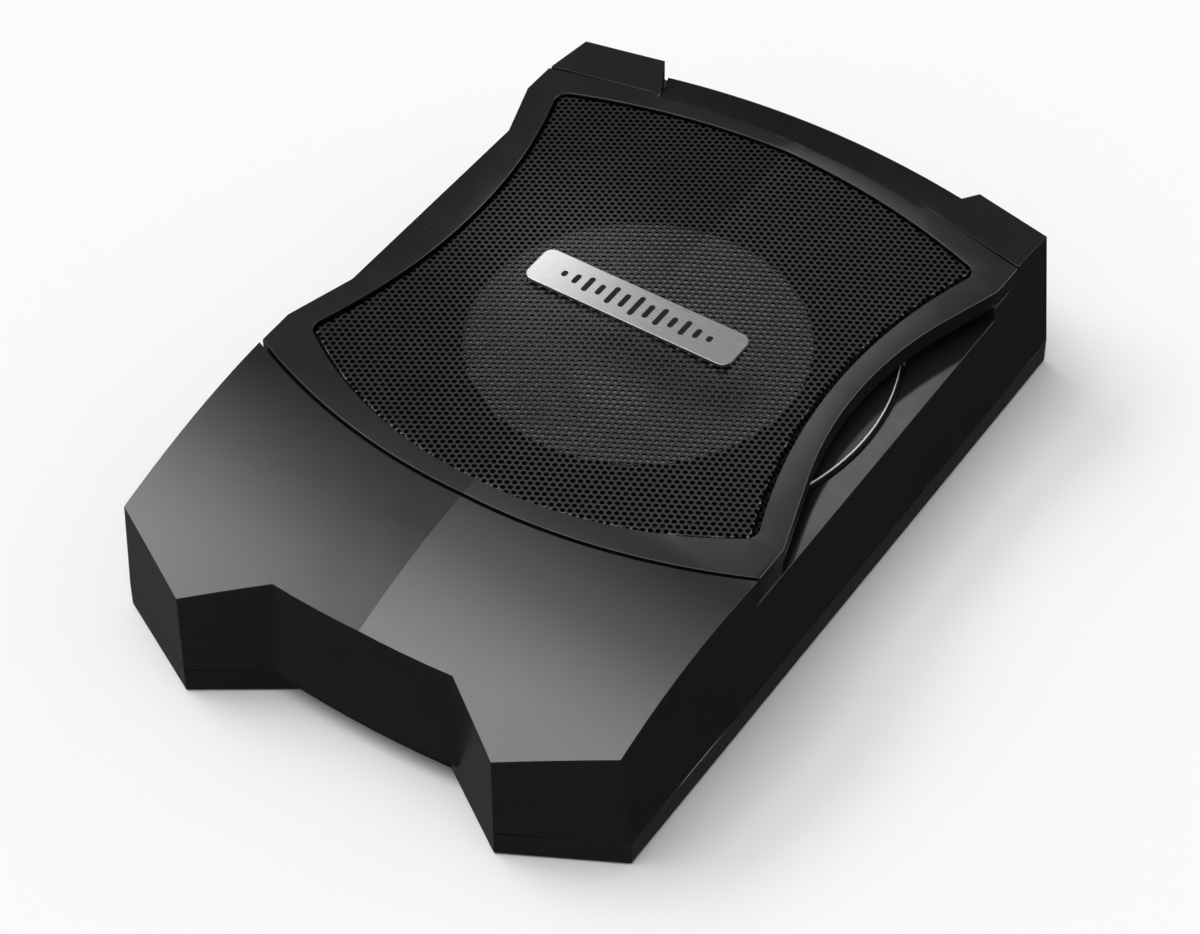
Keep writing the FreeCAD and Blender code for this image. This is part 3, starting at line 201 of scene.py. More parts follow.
class Finish(Wiring):
    """A procedural material: one shader with its texture chains."""

    def __init__(self, name, colour, metallic=0.0):
        self.material = bpy.data.materials.new(name)
        super().__init__(self.material)
        self.shader = self.nodes["Principled BSDF"]
        self.shader.inputs["Base Color"].default_value = (*colour, 1)
        self.shader.inputs["Metallic"].default_value = metallic
        self.normal = None

    def value(self, name, number):
        """Set one input of the shader."""
        self.shader.inputs[name].default_value = number

    def places(self, stretch=(1, 1, 1)):
        """Object coordinates, stretched along each axis."""
        where = self.nodes.new("ShaderNodeTexCoord")
        scale = self.nodes.new("ShaderNodeMapping")
        scale.inputs["Scale"].default_value = stretch
        self.links.new(where.outputs["Object"], scale.inputs["Vector"])
        return scale.outputs["Vector"]

    def noise(self, scale, detail=3.0, rough=0.5, stretch=(1, 1, 1)):
        """Cloudy noise, with that many features to a metre."""
        cloud = self.nodes.new("ShaderNodeTexNoise")
        cloud.inputs["Scale"].default_value = scale
        cloud.inputs["Detail"].default_value = detail
        cloud.inputs["Roughness"].default_value = rough
        self.links.new(self.places(stretch), cloud.inputs["Vector"])
        return cloud.outputs["Fac"]

    def weave(self, scale):
        """Threads crossing at right angles."""
        waves = []
        for axis in ("X", "Y"):
            wave = self.nodes.new("ShaderNodeTexWave")
            wave.wave_type = "BANDS"
            wave.bands_direction = axis
            wave.inputs["Scale"].default_value = scale
            self.links.new(self.places(), wave.inputs["Vector"])
            waves.append(wave.outputs["Fac"])
        return self.join("MAXIMUM", *waves)

    def rough(self, source, low, high):
        """Roughness that wanders between two values."""
        self.links.new(self.spread(source, low, high, *NOISE_SPAN),
                       self.shader.inputs["Roughness"])

    def tint(self, source, dark, light):
        """Colour that wanders between two tones."""
        mix = self.nodes.new("ShaderNodeMix")
        mix.data_type = "RGBA"
        mix.inputs["A"].default_value = (*dark, 1)
        mix.inputs["B"].default_value = (*light, 1)
        self.links.new(self.spread(source, 0.0, 1.0, *NOISE_SPAN), mix.inputs["Factor"])
        self.links.new(mix.outputs["Result"], self.shader.inputs["Base Color"])

    def bump(self, source, strength, distance):
        """Add one more layer of relief."""
        relief = self.nodes.new("ShaderNodeBump")
        relief.inputs["Strength"].default_value = strength
        relief.inputs["Distance"].default_value = distance
        self.links.new(source, relief.inputs["Height"])
        if self.normal is not None:
            self.links.new(self.normal, relief.inputs["Normal"])
        self.normal = relief.outputs["Normal"]
        self.links.new(self.normal, self.shader.inputs["Normal"])

    def reach(self, centre, start, stop):
        """One where the distance to a centre, mirrored in the middle plane, passes a limit."""
        place = self.axes(self.places())
        flat = self.nodes.new("ShaderNodeCombineXYZ")
        self.links.new(self.join("ABSOLUTE", place["X"], 0.0), flat.inputs["X"])
        self.links.new(place["Y"], flat.inputs["Y"])
        gap = self.nodes.new("ShaderNodeVectorMath")
        gap.operation = "DISTANCE"
        self.links.new(flat.outputs["Vector"], gap.inputs[0])
        gap.inputs[1].default_value = (centre[0] * MM, centre[1] * MM, 0)
        return self.spread(gap.outputs["Value"], 0.0, 1.0, start * MM, stop * MM)

    def scale_colour(self, factor):
        """Multiply the colour by a factor."""
        colour = self.shader.inputs["Base Color"]
        scaled = self.nodes.new("ShaderNodeVectorMath")
        scaled.operation = "SCALE"
        self.links.new(colour.links[0].from_socket, scaled.inputs[0])
        self.links.new(factor, scaled.inputs["Scale"])
        self.links.new(scaled.outputs["Vector"], colour)

    def paint_shade(self, mask, keep=0.2, matt=0.75, gloss=0.5, gleam=0.04):
        """Where the mask is one, painted shade: the colour turns dark and the surface matt."""
        self.scale_colour(self.spread(mask, 1.0, keep, 0.0, 1.0))
        rough = self.shader.inputs["Roughness"]
        coarser = self.join("MAXIMUM", rough.links[0].from_socket,
                            self.spread(mask, 0.0, matt, 0.0, 1.0))
        self.links.new(coarser, rough)
        self.links.new(self.spread(mask, gloss, gleam, 0.0, 1.0),
                       self.shader.inputs["Specular IOR Level"])

    def painted_sheen(self, along, stops):
        """Multiply the colour by tones that change along one axis, as (place, tone) pairs: a painted sheen.
        """
        place = self.axes(self.places())[along]
        tones = self.nodes.new("ShaderNodeFloatCurve")
        first, last = stops[0][0], stops[-1][0]
        curve = tones.mapping.curves[0]
        curve.points[0].location = (0.0, stops[0][1])
        curve.points[1].location = (1.0, stops[-1][1])
        for stop, tone in stops[1:-1]:
            curve.points.new((stop - first) / (last - first), tone)
        tones.mapping.update()
        self.links.new(self.spread(place, 0.0, 1.0, first * MM, last * MM),
                       tones.inputs["Value"])
        self.scale_colour(tones.outputs["Value"])


def shades(colour, low, high):
    """A darker and a lighter tone of one colour."""
    return tuple(channel * low for channel in colour), tuple(channel * high for channel in colour)


def paint(name, colour, low, high, grain=900.0, depth=0.00002, strength=0.02):
    """Satin paint: fine orange peel, faint clouds of tone and gloss."""
    finish = Finish(name, colour)
    finish.tint(finish.noise(26.0, 4.0), *shades(colour, 0.88, 1.12))
    finish.rough(finish.noise(70.0, 5.0, 0.6), low, high)
    finish.bump(finish.noise(grain, 2.0), strength, depth)
    finish.bump(finish.noise(grain * 0.22, 2.0), strength * 0.3, depth * 2)
    return finish


def metal(name, colour, low, high, stretch=(1, 1, 1), grain=700.0, strength=0.15):
    """Bare metal, brushed along the axis whose stretch is smallest."""
    finish = Finish(name, colour, 1.0)
    lines = finish.noise(grain, 3.0, 0.6, stretch)
    finish.tint(lines, *shades(colour, 0.82, 1.0))
    finish.rough(lines, low, high)
    finish.bump(lines, strength, 0.00002)
    return finish


def plastic(name, colour, low, high, grain=1500.0, strength=0.2):
    """Moulded plastic, rubber or cloth: fine grain, faint clouds of tone and gloss."""
    finish = Finish(name, colour)
    finish.tint(finish.noise(60.0, 3.0), *shades(colour, 0.9, 1.1))
    finish.rough(finish.noise(120.0, 4.0, 0.6), low, high)
    finish.bump(finish.noise(grain, 2.0), strength, 0.00003)
    return finish


BLACK = (0.0105, 0.0105, 0.011)
SHADE_BLACK = (0.004, 0.004, 0.004)
ALONG_X = (0.02, 1, 1)
AROUND_Z = (1, 1, 0.03)
finishes = {
    "housing_cast": paint("housing_cast", BLACK, 0.14, 0.17),
    "frame_paint": paint("frame_paint", BLACK, 0.16, 0.20),
    "mesh_paint": paint("mesh_paint", (0.010, 0.010, 0.0103), 0.26, 0.31, 1600.0),
    # Painted shade: a deep, matt black that stands in for shade in hole walls, gaps and recesses.
    "painted_shade_black": plastic("painted_shade_black", SHADE_BLACK, 0.7, 0.8),
    "badge_metal": metal("badge_metal", (0.84, 0.84, 0.84), 0.24, 0.36, ALONG_X, 2600.0),
    "badge_dark": paint("badge_dark", (0.006, 0.006, 0.006), 0.5, 0.6),
    "rubber": plastic("rubber", (0.012, 0.012, 0.012), 0.55, 0.7),
    "steel_screw": metal("steel_screw", (0.10, 0.10, 0.105), 0.3, 0.45),
    "brass_parts": metal("brass_parts", (0.72, 0.52, 0.22), 0.25, 0.4),
    "basket_metal": paint("basket_metal", BLACK, 0.4, 0.5),
    "ring_metal": paint("ring_metal", BLACK, 0.19, 0.23),
    "ring_edge": metal("ring_edge", (0.2, 0.2, 0.205), 0.2, 0.3),
    "cone_grey": plastic("cone_grey", (0.24, 0.24, 0.245), 0.42, 0.50, 900.0, 0.1),
    "spider_cloth": plastic("spider_cloth", (0.42, 0.28, 0.09), 0.8, 0.95),
    "former_film": plastic("former_film", (0.35, 0.16, 0.03), 0.25, 0.35),
    "copper": metal("copper", (0.66, 0.27, 0.12), 0.28, 0.42, AROUND_Z, 1500.0, 0.4),
    "motor_steel": metal("motor_steel", (0.42, 0.43, 0.45), 0.3, 0.42),
    "ferrite": plastic("ferrite", (0.03, 0.03, 0.032), 0.6, 0.75),
    "black_plastic": plastic("black_plastic", (0.012, 0.012, 0.013), 0.42, 0.55),
    "knob_plastic": plastic("knob_plastic", (0.016, 0.016, 0.017), 0.4, 0.5),
    "slider_plastic": plastic("slider_plastic", (0.66, 0.66, 0.65), 0.4, 0.5),
    "wire_jacket": plastic("wire_jacket", (0.03, 0.03, 0.03), 0.45, 0.6),
    "board_laminate": plastic("board_laminate", (0.01, 0.09, 0.035), 0.3, 0.42),
    "heatsink": metal("heatsink", (0.6, 0.61, 0.62), 0.35, 0.5, ALONG_X),
    "capacitor_sleeve": plastic("capacitor_sleeve", (0.02, 0.02, 0.04), 0.25, 0.35),
    "panel_paint": paint("panel_paint", BLACK, 0.45, 0.55, 1200.0, 0.00005, 0.4),
    "nickel": metal("nickel", (0.78, 0.76, 0.70), 0.14, 0.24),
    "fuse_orange": plastic("fuse_orange", (0.75, 0.16, 0.01), 0.2, 0.3),
    "led_lens": plastic("led_lens", (0.25, 0.5, 0.9), 0.08, 0.14),
    "jack_red": plastic("jack_red", (0.5, 0.015, 0.012), 0.35, 0.45),
    "jack_white": plastic("jack_white", (0.7, 0.7, 0.68), 0.35, 0.45),
    "print_grey": plastic("print_grey", (0.45, 0.45, 0.45), 0.5, 0.6),
}
finishes["fuse_orange"].value("Transmission Weight", 0.4)
finishes["led_lens"].value("Transmission Weight", 0.6)
cloth = finishes["spider_cloth"]
cloth.bump(cloth.weave(420.0), 0.7, 0.0001)
finishes["painted_shade_black"].value("Specular IOR Level", 0.1)
finishes["badge_dark"].value("Specular IOR Level", 0.15)
# Painted sheen: the brushed plate is lighter at its left end and darker towards the right, standing in for
# the reflection across it.
finishes["badge_metal"].painted_sheen("X", ((-47, 0.88), (-38, 0.78), (-18, 0.60), (10, 0.53), (47, 0.47)))


def under_grille(finish):
    """One inside the sheet's outline, where everything lies in its shade; it masks the painted shade there.
    """
    within, beyond = 3.0, 1.0
    right, rear, _, front = sheet_sides
    return finish.join("MULTIPLY",
                       finish.reach(right[0], right[1] - within, right[1] + beyond),
                       finish.reach(rear[0], rear[1] + within, rear[1] - beyond),
                       finish.reach(front[0], front[1] + within, front[1] - beyond))


# Painted shade: under the perforated sheet these finishes turn dark and matt, standing in for its shade.
for name in ("housing_cast", "basket_metal", "ring_metal", "ring_edge", "steel_screw", "rubber"):
    finishes[name].paint_shade(under_grille(finishes[name]))

for part in frame["record"]["subparts"]:
    node = nodes[part["node"]]
    node.data.materials.clear()
    node.data.materials.append(finishes[part["material_slot"]].material)
# Painted shade: the parting gasket takes the deep black, so the seam reads as a shaded gap.
nodes["housing_gasket"].data.materials[0] = finishes["painted_shade_black"].material


# ---------------------------------------------------------------- mesh helpers

def add_object(name, mesh, finish, body="root"):
    """Put a finished mesh in the scene as a piece that rides on a body."""
    piece = bpy.data.objects.new(name, mesh)
    scene.collection.objects.link(piece)
    mesh.materials.append(finishes[finish].material)
    if body is not None:
        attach(piece, body)
    return piece


def from_bmesh(name, work, finish, body="root", smooth=32.0):
    """Turn a bmesh into a piece, smooth except over edges sharper than the angle."""
    bmesh.ops.recalc_face_normals(work, faces=work.faces)
    mesh = bpy.data.meshes.new(name)
    work.to_mesh(mesh)
    work.free()
    mesh.shade_smooth()
    mesh.set_sharp_from_angle(angle=math.radians(smooth))
    return add_object(name, mesh, finish, body)


def weighted(piece):
    """Let large faces set the shading, so that narrow rounded edges catch the light."""
    modifier = piece.modifiers.new("weighted_normals", "WEIGHTED_NORMAL")
    modifier.keep_sharp = True
    modifier.weight = 90
    return piece


# Faces steeper than ROOF_TILT, or further than ON_ROOF millimetres from it, aren't the roof.
ROOF_TILT = 0.55
ON_ROOF = 0.03
ALIGNED = 0.998
SIDEWAYS = 0.98
TURN_UNDER = -0.2


def roof_normal(x, y):
    """Which way the crowned roof faces."""
    if y < NOSE_Y:
        slope = (NOSE_Y - y) / math.sqrt(NOSE_RADIUS ** 2 - (y - NOSE_Y) ** 2)
    else:
        slope = (BARREL_Y - y) / BARREL_RADIUS
    return Vector((math.copysign(CROWN_SLOPE, x), -slope, 1.0)).normalized()


def crowned(polygon, spot):
    """The true normal of the crowned roof: smooth along Y, folded at the centre."""
    if polygon.normal.z < ROOF_TILT or abs(spot.z - roof(spot.x, spot.y)) > ON_ROOF:
        return None
    normal = roof_normal(polygon.center.x, spot.y)
    behind = polygon.center.y > POST_FRONT * MM
    return None if behind and polygon.normal.dot(normal) < ALIGNED else normal


def undercut(polygon, spot):
    """The long sides of the base, which turn slightly under."""
    if abs(polygon.normal.x) < SIDEWAYS or spot.z > PARTING:
        return None
    return Vector((math.copysign(SIDEWAYS, polygon.normal.x), 0.0, TURN_UNDER))


def reshade(piece, choose):
    """Keep the weighted normals except where another one is chosen."""
    graph = bpy.context.evaluated_depsgraph_get()
    shaded = piece.evaluated_get(graph)
    normals = [corner.vector.copy() for corner in shaded.to_mesh().corner_normals]
    shaded.to_mesh_clear()
    piece.modifiers.clear()
    mesh = piece.data
    spots = [vertex.co * TO_MM for vertex in mesh.vertices]
    for polygon in mesh.polygons:
        for corner in polygon.loop_indices:
            chosen = choose(polygon, spots[mesh.loops[corner].vertex_index])
            if chosen is not None:
                normals[corner] = chosen
    mesh.normals_split_custom_set(normals)


WELD = 2e-7
HARD_EDGE = math.radians(24.0)
PARTING_BAND = 0.4


def softened(name, node, finish, width=0.3, parting=None):
    """A node's own shape with every hard edge, save a parting line, rounded by width mm."""
    work = bmesh.new()
    work.from_mesh(nodes[node].data)
    bmesh.ops.remove_doubles(work, verts=work.verts, dist=WELD)
    hard = [edge for edge in work.edges
            if len(edge.link_faces) == 2 and edge.calc_face_angle(0.0) > HARD_EDGE]
    if parting is not None:
        hard = [edge for edge in hard
                if any(abs(vert.co.z - parting * MM) > PARTING_BAND * MM
                       for vert in edge.verts)]
    bmesh.ops.bevel(work, geom=hard, offset=width * MM, offset_type="OFFSET",
                    segments=2, profile=0.5, affect="EDGES", clamp_overlap=False,
                    miter_outer="SHARP", miter_inner="SHARP")
    piece = from_bmesh(name, work, finish, body=nodes[node]["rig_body"], smooth=40.0)
    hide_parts(node)
    return weighted(piece)


DRIVER_Y = 30.0


def lathe(name, profile, finish, body="root", steps=144, smooth=32.0):
    """A closed (radius, z) outline in millimetres turned about the driver's axis."""
    work = bmesh.new()
    rings = []
    for index in range(steps):
        angle = 2 * math.pi * index / steps
        rings.append([work.verts.new((radius * MM * math.cos(angle),
                                      DRIVER_Y * MM + radius * MM * math.sin(angle), z * MM))
                      for radius, z in profile])
    count = len(profile)
    for index, ring in enumerate(rings):
        after = rings[(index + 1) % steps]
        for here in range(count):
            there = (here + 1) % count
            work.faces.new((ring[here], after[here], after[there], ring[there]))
    bmesh.ops.remove_doubles(work, verts=work.verts, dist=1e-6)
    return from_bmesh(name, work, finish, body, smooth)


def bow(start, stop, radius, side, steps=14):
    """Points on the arc from start to stop; side 1 bows left of the way, -1 right."""
    start, stop = Vector(start), Vector(stop)
    centre = arc_centre(start, stop, radius, side)
    first = math.atan2(start.y - centre.y, start.x - centre.x)
    turn = -side * 2 * math.asin((stop - start).length / 2 / radius)
    return [(centre.x + radius * math.cos(first + turn * index / steps),
             centre.y + radius * math.sin(first + turn * index / steps))
            for index in range(steps + 1)]


def radial_blend(piece, start, stop, measure):
    """Tie a flexible ring to the cone: measure runs from start (fixed) to stop (moving)."""
    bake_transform(piece, "root", "cone_assembly", (0, 0.030, 0), (0, 0.030, 0.060))
    for vertex, weight in zip(piece.data.vertices, piece.data.attributes["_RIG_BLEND"].data):
        weight.value = ease((measure(vertex.co * TO_MM) - start) / (stop - start))


def from_axis(spot):
    """Distance of a place from the driver's axis."""
    return math.hypot(spot.x, spot.y - DRIVER_Y)


def tube(work, path, radius, sides=10):
    """A round wire through a list of points in millimetres, closed at both ends."""
    rings = []
    for index, spot in enumerate(path):
        before = Vector(path[max(index - 1, 0)])
        after = Vector(path[min(index + 1, len(path) - 1)])
        along = (after - before).normalized()
        across = along.cross(Vector((1, 0, 0))).normalized()
        upright = along.cross(across)
        rings.append([work.verts.new((Vector(spot) + across * radius * math.cos(turn)
                                      + upright * radius * math.sin(turn)) * MM)
                      for turn in (2 * math.pi * step / sides for step in range(sides))])
    for ring, following in zip(rings, rings[1:]):
        for step in range(sides):
            after = (step + 1) % sides
            work.faces.new((ring[step], ring[after], following[after], following[step]))
    work.faces.new(rings[0])
    work.faces.new(rings[-1])


def smooth_path(points, steps=8):
    """A Catmull-Rom curve through the points."""
    spots = [Vector(point) for point in points]
    spots = [2 * spots[0] - spots[1]] + spots + [2 * spots[-1] - spots[-2]]
    path = []
    for index in range(1, len(spots) - 2):
        before, here, there, beyond = spots[index - 1:index + 3]
        for step in range(steps):
            share = step / steps
            path.append(0.5 * (2 * here + (there - before) * share
                               + (2 * before - 5 * here + 4 * there - beyond) * share ** 2
                               + (3 * here - before - 3 * there + beyond) * share ** 3))
    return path + [spots[-2]]


def slab(work, outline, low, high, place, round_over=0.0):
    """Extrude a flat outline from low to high; place turns (across, along, height) to XYZ."""
    levels = [(low, 0.0), (high - round_over, 0.0)]
    if round_over:
        shallow = round_over * 0.3
        levels += [(high - shallow, shallow), (high, round_over)]
    centre = sum((Vector(point) for point in outline), Vector((0, 0))) / len(outline)
    rings = []
    for height, inset in levels:
        ring = []
        for index, point in enumerate(outline):
            before = Vector(outline[index - 1])
            after = Vector(outline[(index + 1) % len(outline)])
            way = (after - before).normalized()
            inward = Vector((-way.y, way.x))
            if inward.dot(centre - Vector(point)) < 0:
                inward = -inward
            spot = Vector(point) + inward * inset
            ring.append(work.verts.new(Vector(place(spot.x, spot.y, height)) * MM))
        rings.append(ring)
    for ring, following in zip(rings, rings[1:]):
        for index in range(len(ring)):
            after = (index + 1) % len(ring)
            work.faces.new((ring[index], ring[after], following[after], following[index]))
    work.faces.new(rings[0])
    work.faces.new(rings[-1])


def rounded_box(centre, half, radius, steps=6):
    """Outline of a rectangle with round corners."""
    points = []
    for quarter, (side, end) in enumerate(((1, 1), (-1, 1), (-1, -1), (1, -1))):
        middle = (centre[0] + side * (half[0] - radius), centre[1] + end * (half[1] - radius))
        for step in range(steps + 1):
            angle = math.pi / 2 * (quarter + step / steps)
            points.append((middle[0] + radius * math.cos(angle),
                           middle[1] + radius * math.sin(angle)))
    return points


# ---------------------------------------------------------------- castings

CAST_EDGE = 0.15
WAIST_FRONT = -30.0
WAIST_REAR = 108.0
WAIST_HALF = 90.0
UPRIGHT = 0.5


def castings():
    """The two halves of the housing, which meet in a sharp parting line."""
    reshade(softened("cast_top", "top_cover", "housing_cast", CAST_EDGE, PARTING), crowned)
    reshade(softened("cast_base", "bottom_shell", "housing_cast", CAST_EDGE, PARTING), undercut)


def waisted_frame():
    """The grille frame, with walls painted black as shade where its arms hang over the shoulders."""
    piece = softened("waisted_frame", "grille_frame", "frame_paint")
    reshade(piece, crowned)
    # Painted shade: the frame's walls beside the waist take the black matt finish.
    piece.data.materials.append(finishes["painted_shade_black"].material)
    for wall in piece.data.polygons:
        spot = wall.center * TO_MM
        beside_waist = WAIST_FRONT < spot.y < WAIST_REAR and abs(spot.x) > WAIST_HALF
        if beside_waist and abs(wall.normal.z) < UPRIGHT:
            wall.material_index = 1


castings()
waisted_frame()


# ---------------------------------------------------------------- perforated sheet

# Rows and columns that cover the outline, and the smallest part of a cell worth making.
COLUMNS = range(-44, 45)
ROWS = range(-34, 52)
LEAST_CELL = 0.4
CLOSE = 0.1


def settle(x, y):
    """Pull a point that lies outside the sheet's outline back onto it."""
    for _ in range(3):
        far, way = outside(x, y)
        if far > 0:
            x -= way.x * far
            y -= way.y * far
    return x, y


def dip(x, y):
    """How far the pressed border of the sheet lies below its middle."""
    return DIP * ease((outside(x, y, DIP_EXTRA)[0] + DIP_START) / DIP_RUN)


def plan_key(edge):
    """The same for two edges that lie one above the other."""
    return tuple(sorted((round(vert.co.x, 6), round(vert.co.y, 6)) for vert in edge.verts))


def is_upper(vert):
    """Whether a vertex lies on the sheet's upper face."""
    spot = vert.co * TO_MM
    return spot.z > roof(spot.x, spot.y) - MESH_DROP - DIP - CLOSE


def close_border(work):
    """Wall in the cut edge of the sheet, between its upper and its lower face."""
    edges = [edge for edge in work.edges if len(edge.link_faces) == 1]
    upper = [edge for edge in edges if all(is_upper(vert) for vert in edge.verts)]
    above = set(upper)
    lower = {plan_key(edge): edge for edge in edges if edge not in above}
    for edge in upper:
        match = lower.get(plan_key(edge))
        if match is None:
            continue
        first, second = edge.verts
        below = sorted(match.verts, key=lambda vert: (vert.co - first.co).length)
        work.faces.new((first, second, below[1], below[0]))


def perforated_sheet():
    """Sheet with round holes on a close-packed grid, rows along Y, cut to the outline."""
    work = bmesh.new()
    shared = {}
    sides = 12
    corner = PITCH / math.sqrt(3)
    reach = [corner if step % 2 == 0 else PITCH / 2 for step in range(sides)]
    ways = [(math.cos(2 * math.pi * step / sides), math.sin(2 * math.pi * step / sides))
            for step in range(sides)]

    def vertex(x, y, drop, free):
        key = (round(x, 3), round(y, 3), drop)
        if key not in shared:
            flat_x, flat_y = (x, y) if free else settle(x, y)
            height = roof(flat_x, flat_y) - drop - (0.0 if free else dip(flat_x, flat_y))
            shared[key] = work.verts.new((flat_x * MM, flat_y * MM, height * MM))
        return shared[key]

    column_step = PITCH * math.sqrt(3) / 2
    for column in COLUMNS:
        x = column * column_step
        shift = PITCH / 2 if column % 2 else 0.0
        for row in ROWS:
            y = row * PITCH + shift
            far_out = outside(x, y)[0]
            if far_out > -LEAST_CELL:
                continue
            inner_cell = far_out < -DIP_START - max(DIP_EXTRA) - PITCH
            border = outside(x, y, DIP_EXTRA)[0] > -DIP_START - PITCH / 2
            tops, bottoms, rims, throats = [], [], [], []
            for (across, along), far in zip(ways, reach):
                outer = (x + far * across, y + far * along)
                inner = (x + HOLE_RADIUS * across, y + HOLE_RADIUS * along)
                tops.append(vertex(*outer, MESH_DROP, inner_cell))
                bottoms.append(vertex(*outer, MESH_DROP + MESH_THICK, inner_cell))
                rims.append(vertex(*inner, MESH_DROP, inner_cell))
                throats.append(vertex(*inner, MESH_DROP + MESH_THICK, inner_cell))
            for step in range(sides):
                after = (step + 1) % sides
                # Painted shade: the hole walls, the underside and the pressed border take the black matt
                # finish.
                for shade_slot, quad in (
                        (0, (tops[step], tops[after], rims[after], rims[step])),
                        (1, (rims[step], rims[after], throats[after], throats[step])),
                        (1, (throats[step], throats[after], bottoms[after], bottoms[step]))):
                    if len(set(quad)) == 4:
                        face = work.faces.new(quad)
                        middle = face.calc_center_median() * TO_MM
                        pressed = border and outside(middle.x, middle.y,
                                                     DIP_EXTRA)[0] > -DIP_START + CLOSE
                        face.material_index = 1 if pressed else shade_slot
    close_border(work)
    bmesh.ops.dissolve_degenerate(work, dist=1e-6, edges=work.edges)
    piece = from_bmesh("perforated_sheet", work, "mesh_paint")
    piece.data.materials.append(finishes["painted_shade_black"].material)
    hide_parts("grille_mesh")


perforated_sheet()


# ---------------------------------------------------------------- driver

def trim_ring():
    """Painted ring with a bright turned edge."""
    seat, top = 60.2, 61.6
    inner, turned, outer = 92.5, 103.1, 104.0
    body = lathe("ring_body", [(inner, seat), (turned, seat), (turned, top),
                               (inner + 0.7, top), (inner + 0.2, top - 0.2),
                               (inner, top - 0.7)], "ring_metal", smooth=15.0)
    edge = lathe("ring_bright_edge", [(turned, seat), (outer, seat), (outer, top - 0.8),
                                      (outer - 0.1, top - 0.5), (outer - 0.4, top - 0.15),
                                      (turned + 0.15, top), (turned, top)],
                 "ring_edge", smooth=50.0)
    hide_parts("trim_ring")
    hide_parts("trim_ring")


trim_ring()


def moving_parts():
    """Cone and dust cap, which travel together."""
    neck, waist, rim = 20.3, 46.0, 73.4
    rounding = 0.3
    cone = lathe("paper_cone", [(neck, 40.6), (waist, 48.85), (71.5, 57.0),
                                (rim - rounding, 57.0), (rim, 57.0 + rounding),
                                (rim, 58.2 - rounding), (rim - rounding, 58.2),
                                (71.3, 58.2), (waist, 50.1), (neck, 41.9)],
                 "cone_grey", body="cone_assembly")
    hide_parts("cone")
    dome = bow((0.0, 51.3), (27.6, 44.3), 55.0, 1)
    hollow = bow((26.4, 43.9), (0.0, 50.5), 54.0, -1)
    cap = lathe("cap_dome", hollow + dome, "cone_grey", body="cone_assembly", steps=96)
    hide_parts("dust_cap")


def flexing_parts():
    """Half-roll surround, corrugated spider and the two braided leads."""
    lip, edge, seat = 69.0, 91.8, 60.2
    roll = bow((73.8, 59.4), (87.0, seat), 7.6, 1, 16)
    crest = bow((88.2, seat + 0.8), (72.8, 60.0), 8.6, -1, 16)
    surround = lathe("roll_surround", [(lip, 58.3), (73.6, 58.3)] + roll
                     + [(edge, seat), (edge, seat + 0.8)] + crest + [(lip, 59.2)],
                     "rubber", body=None, steps=120)
    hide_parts("surround")
    radial_blend(surround, 87.5, 73.4, from_axis)

    low, high, thick = 34.2, 36.2, 0.6
    former, first_wave, last_wave, rim = 20.35, 22.6, 53.5, 60.8
    steps, wave = 52, 8.8
    waves = [(former, 35.2)]
    for step in range(1, steps + 1):
        radius = former + (last_wave - former) * step / steps
        swing = 0.5 - 0.5 * math.cos(2 * math.pi * (radius - first_wave) / wave)
        waves.append((radius, low + (high - low) * swing * min(1.0, step / 4)))
    waves.append((rim, low))
    cloth_ring = lathe("corrugated_spider", waves
                       + [(radius, height + thick) for radius, height in reversed(waves)],
                       "spider_cloth", body=None, steps=96)
    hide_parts("spider")
    radial_blend(cloth_ring, last_wave, first_wave, from_axis)

    terminal, cone_end = -43.6, -14.6
    work = bmesh.new()
    for side in (-8.0, 8.0):
        tube(work, smooth_path([(side, terminal, 36.8), (side, -36.6, 40.0),
                                (side, -24.6, 43.5), (side, cone_end, 47.4)]), 0.7)
    leads = from_bmesh("braided_leads", work, "copper", body=None, smooth=60.0)
    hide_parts("tinsel_leads")
    radial_blend(leads, terminal, cone_end, lambda spot: spot.y)


moving_parts()
flexing_parts()


# ---------------------------------------------------------------- badge

BADGE_TOP = 77.85
BADGE_UNDERSIDE = 76.35
BADGE_HALF = (47.25, 9.75)
BADGE_Y = 28.8
CLIP_X = 36.0
CLIP_FOOT = 71.0
BAR_PITCH = 5.6
PROUD = 0.03


def badge():
    """Brushed plate with a dark row of level bars."""
    def flat(across, along, height):
        return across, along, height

    work = bmesh.new()
    slab(work, rounded_box((0, BADGE_Y), BADGE_HALF, 4.2, 8), BADGE_UNDERSIDE,
         BADGE_TOP - PROUD, flat, 0.3)
    for side in (-CLIP_X, CLIP_X):
        slab(work, rounded_box((side, BADGE_Y), (1.4, 1.4), 1.39), CLIP_FOOT,
             BADGE_UNDERSIDE + 0.05, flat)
    plate = weighted(from_bmesh("badge_plate_brushed", work, "badge_metal"))
    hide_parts("badge_plate")
    work = bmesh.new()
    heights = (1.7, 2.8, 4.4, 3.1, 5.2, 4.0, 5.9)
    heights += heights[-2::-1]
    for index, half in enumerate(heights):
        place = (index - (len(heights) - 1) / 2) * BAR_PITCH
        slab(work, rounded_box((place, BADGE_Y), (1.2, half), 1.19), BADGE_TOP - 0.45,
             BADGE_TOP, flat)
    from_bmesh("badge_level_bars", work, "badge_dark")


badge()


# ---------------------------------------------------------------- connection bay

PANEL_FACE = 163.5
KNOB_FACE = 172.1
KNOB_Z = 42.5
KNOBS = (("gain", 57.0), ("crossover", 41.0))
KNOB_SWEEP = 140.0
SCALE_TICKS = 11
SCALE_RADIUS = 7.0
DOT_Z = 21.3
DOT_PITCH = 2.6
JACKS = ((-4.0, "red", "jack_red"), (12.0, "white", "jack_white"))
JACK_Z = 35.0
JACK_MOUTH = 173.02


def rearward(across, upward, depth):
    """Plan seen from the rear, with depth along Y."""
    return across, depth, upward


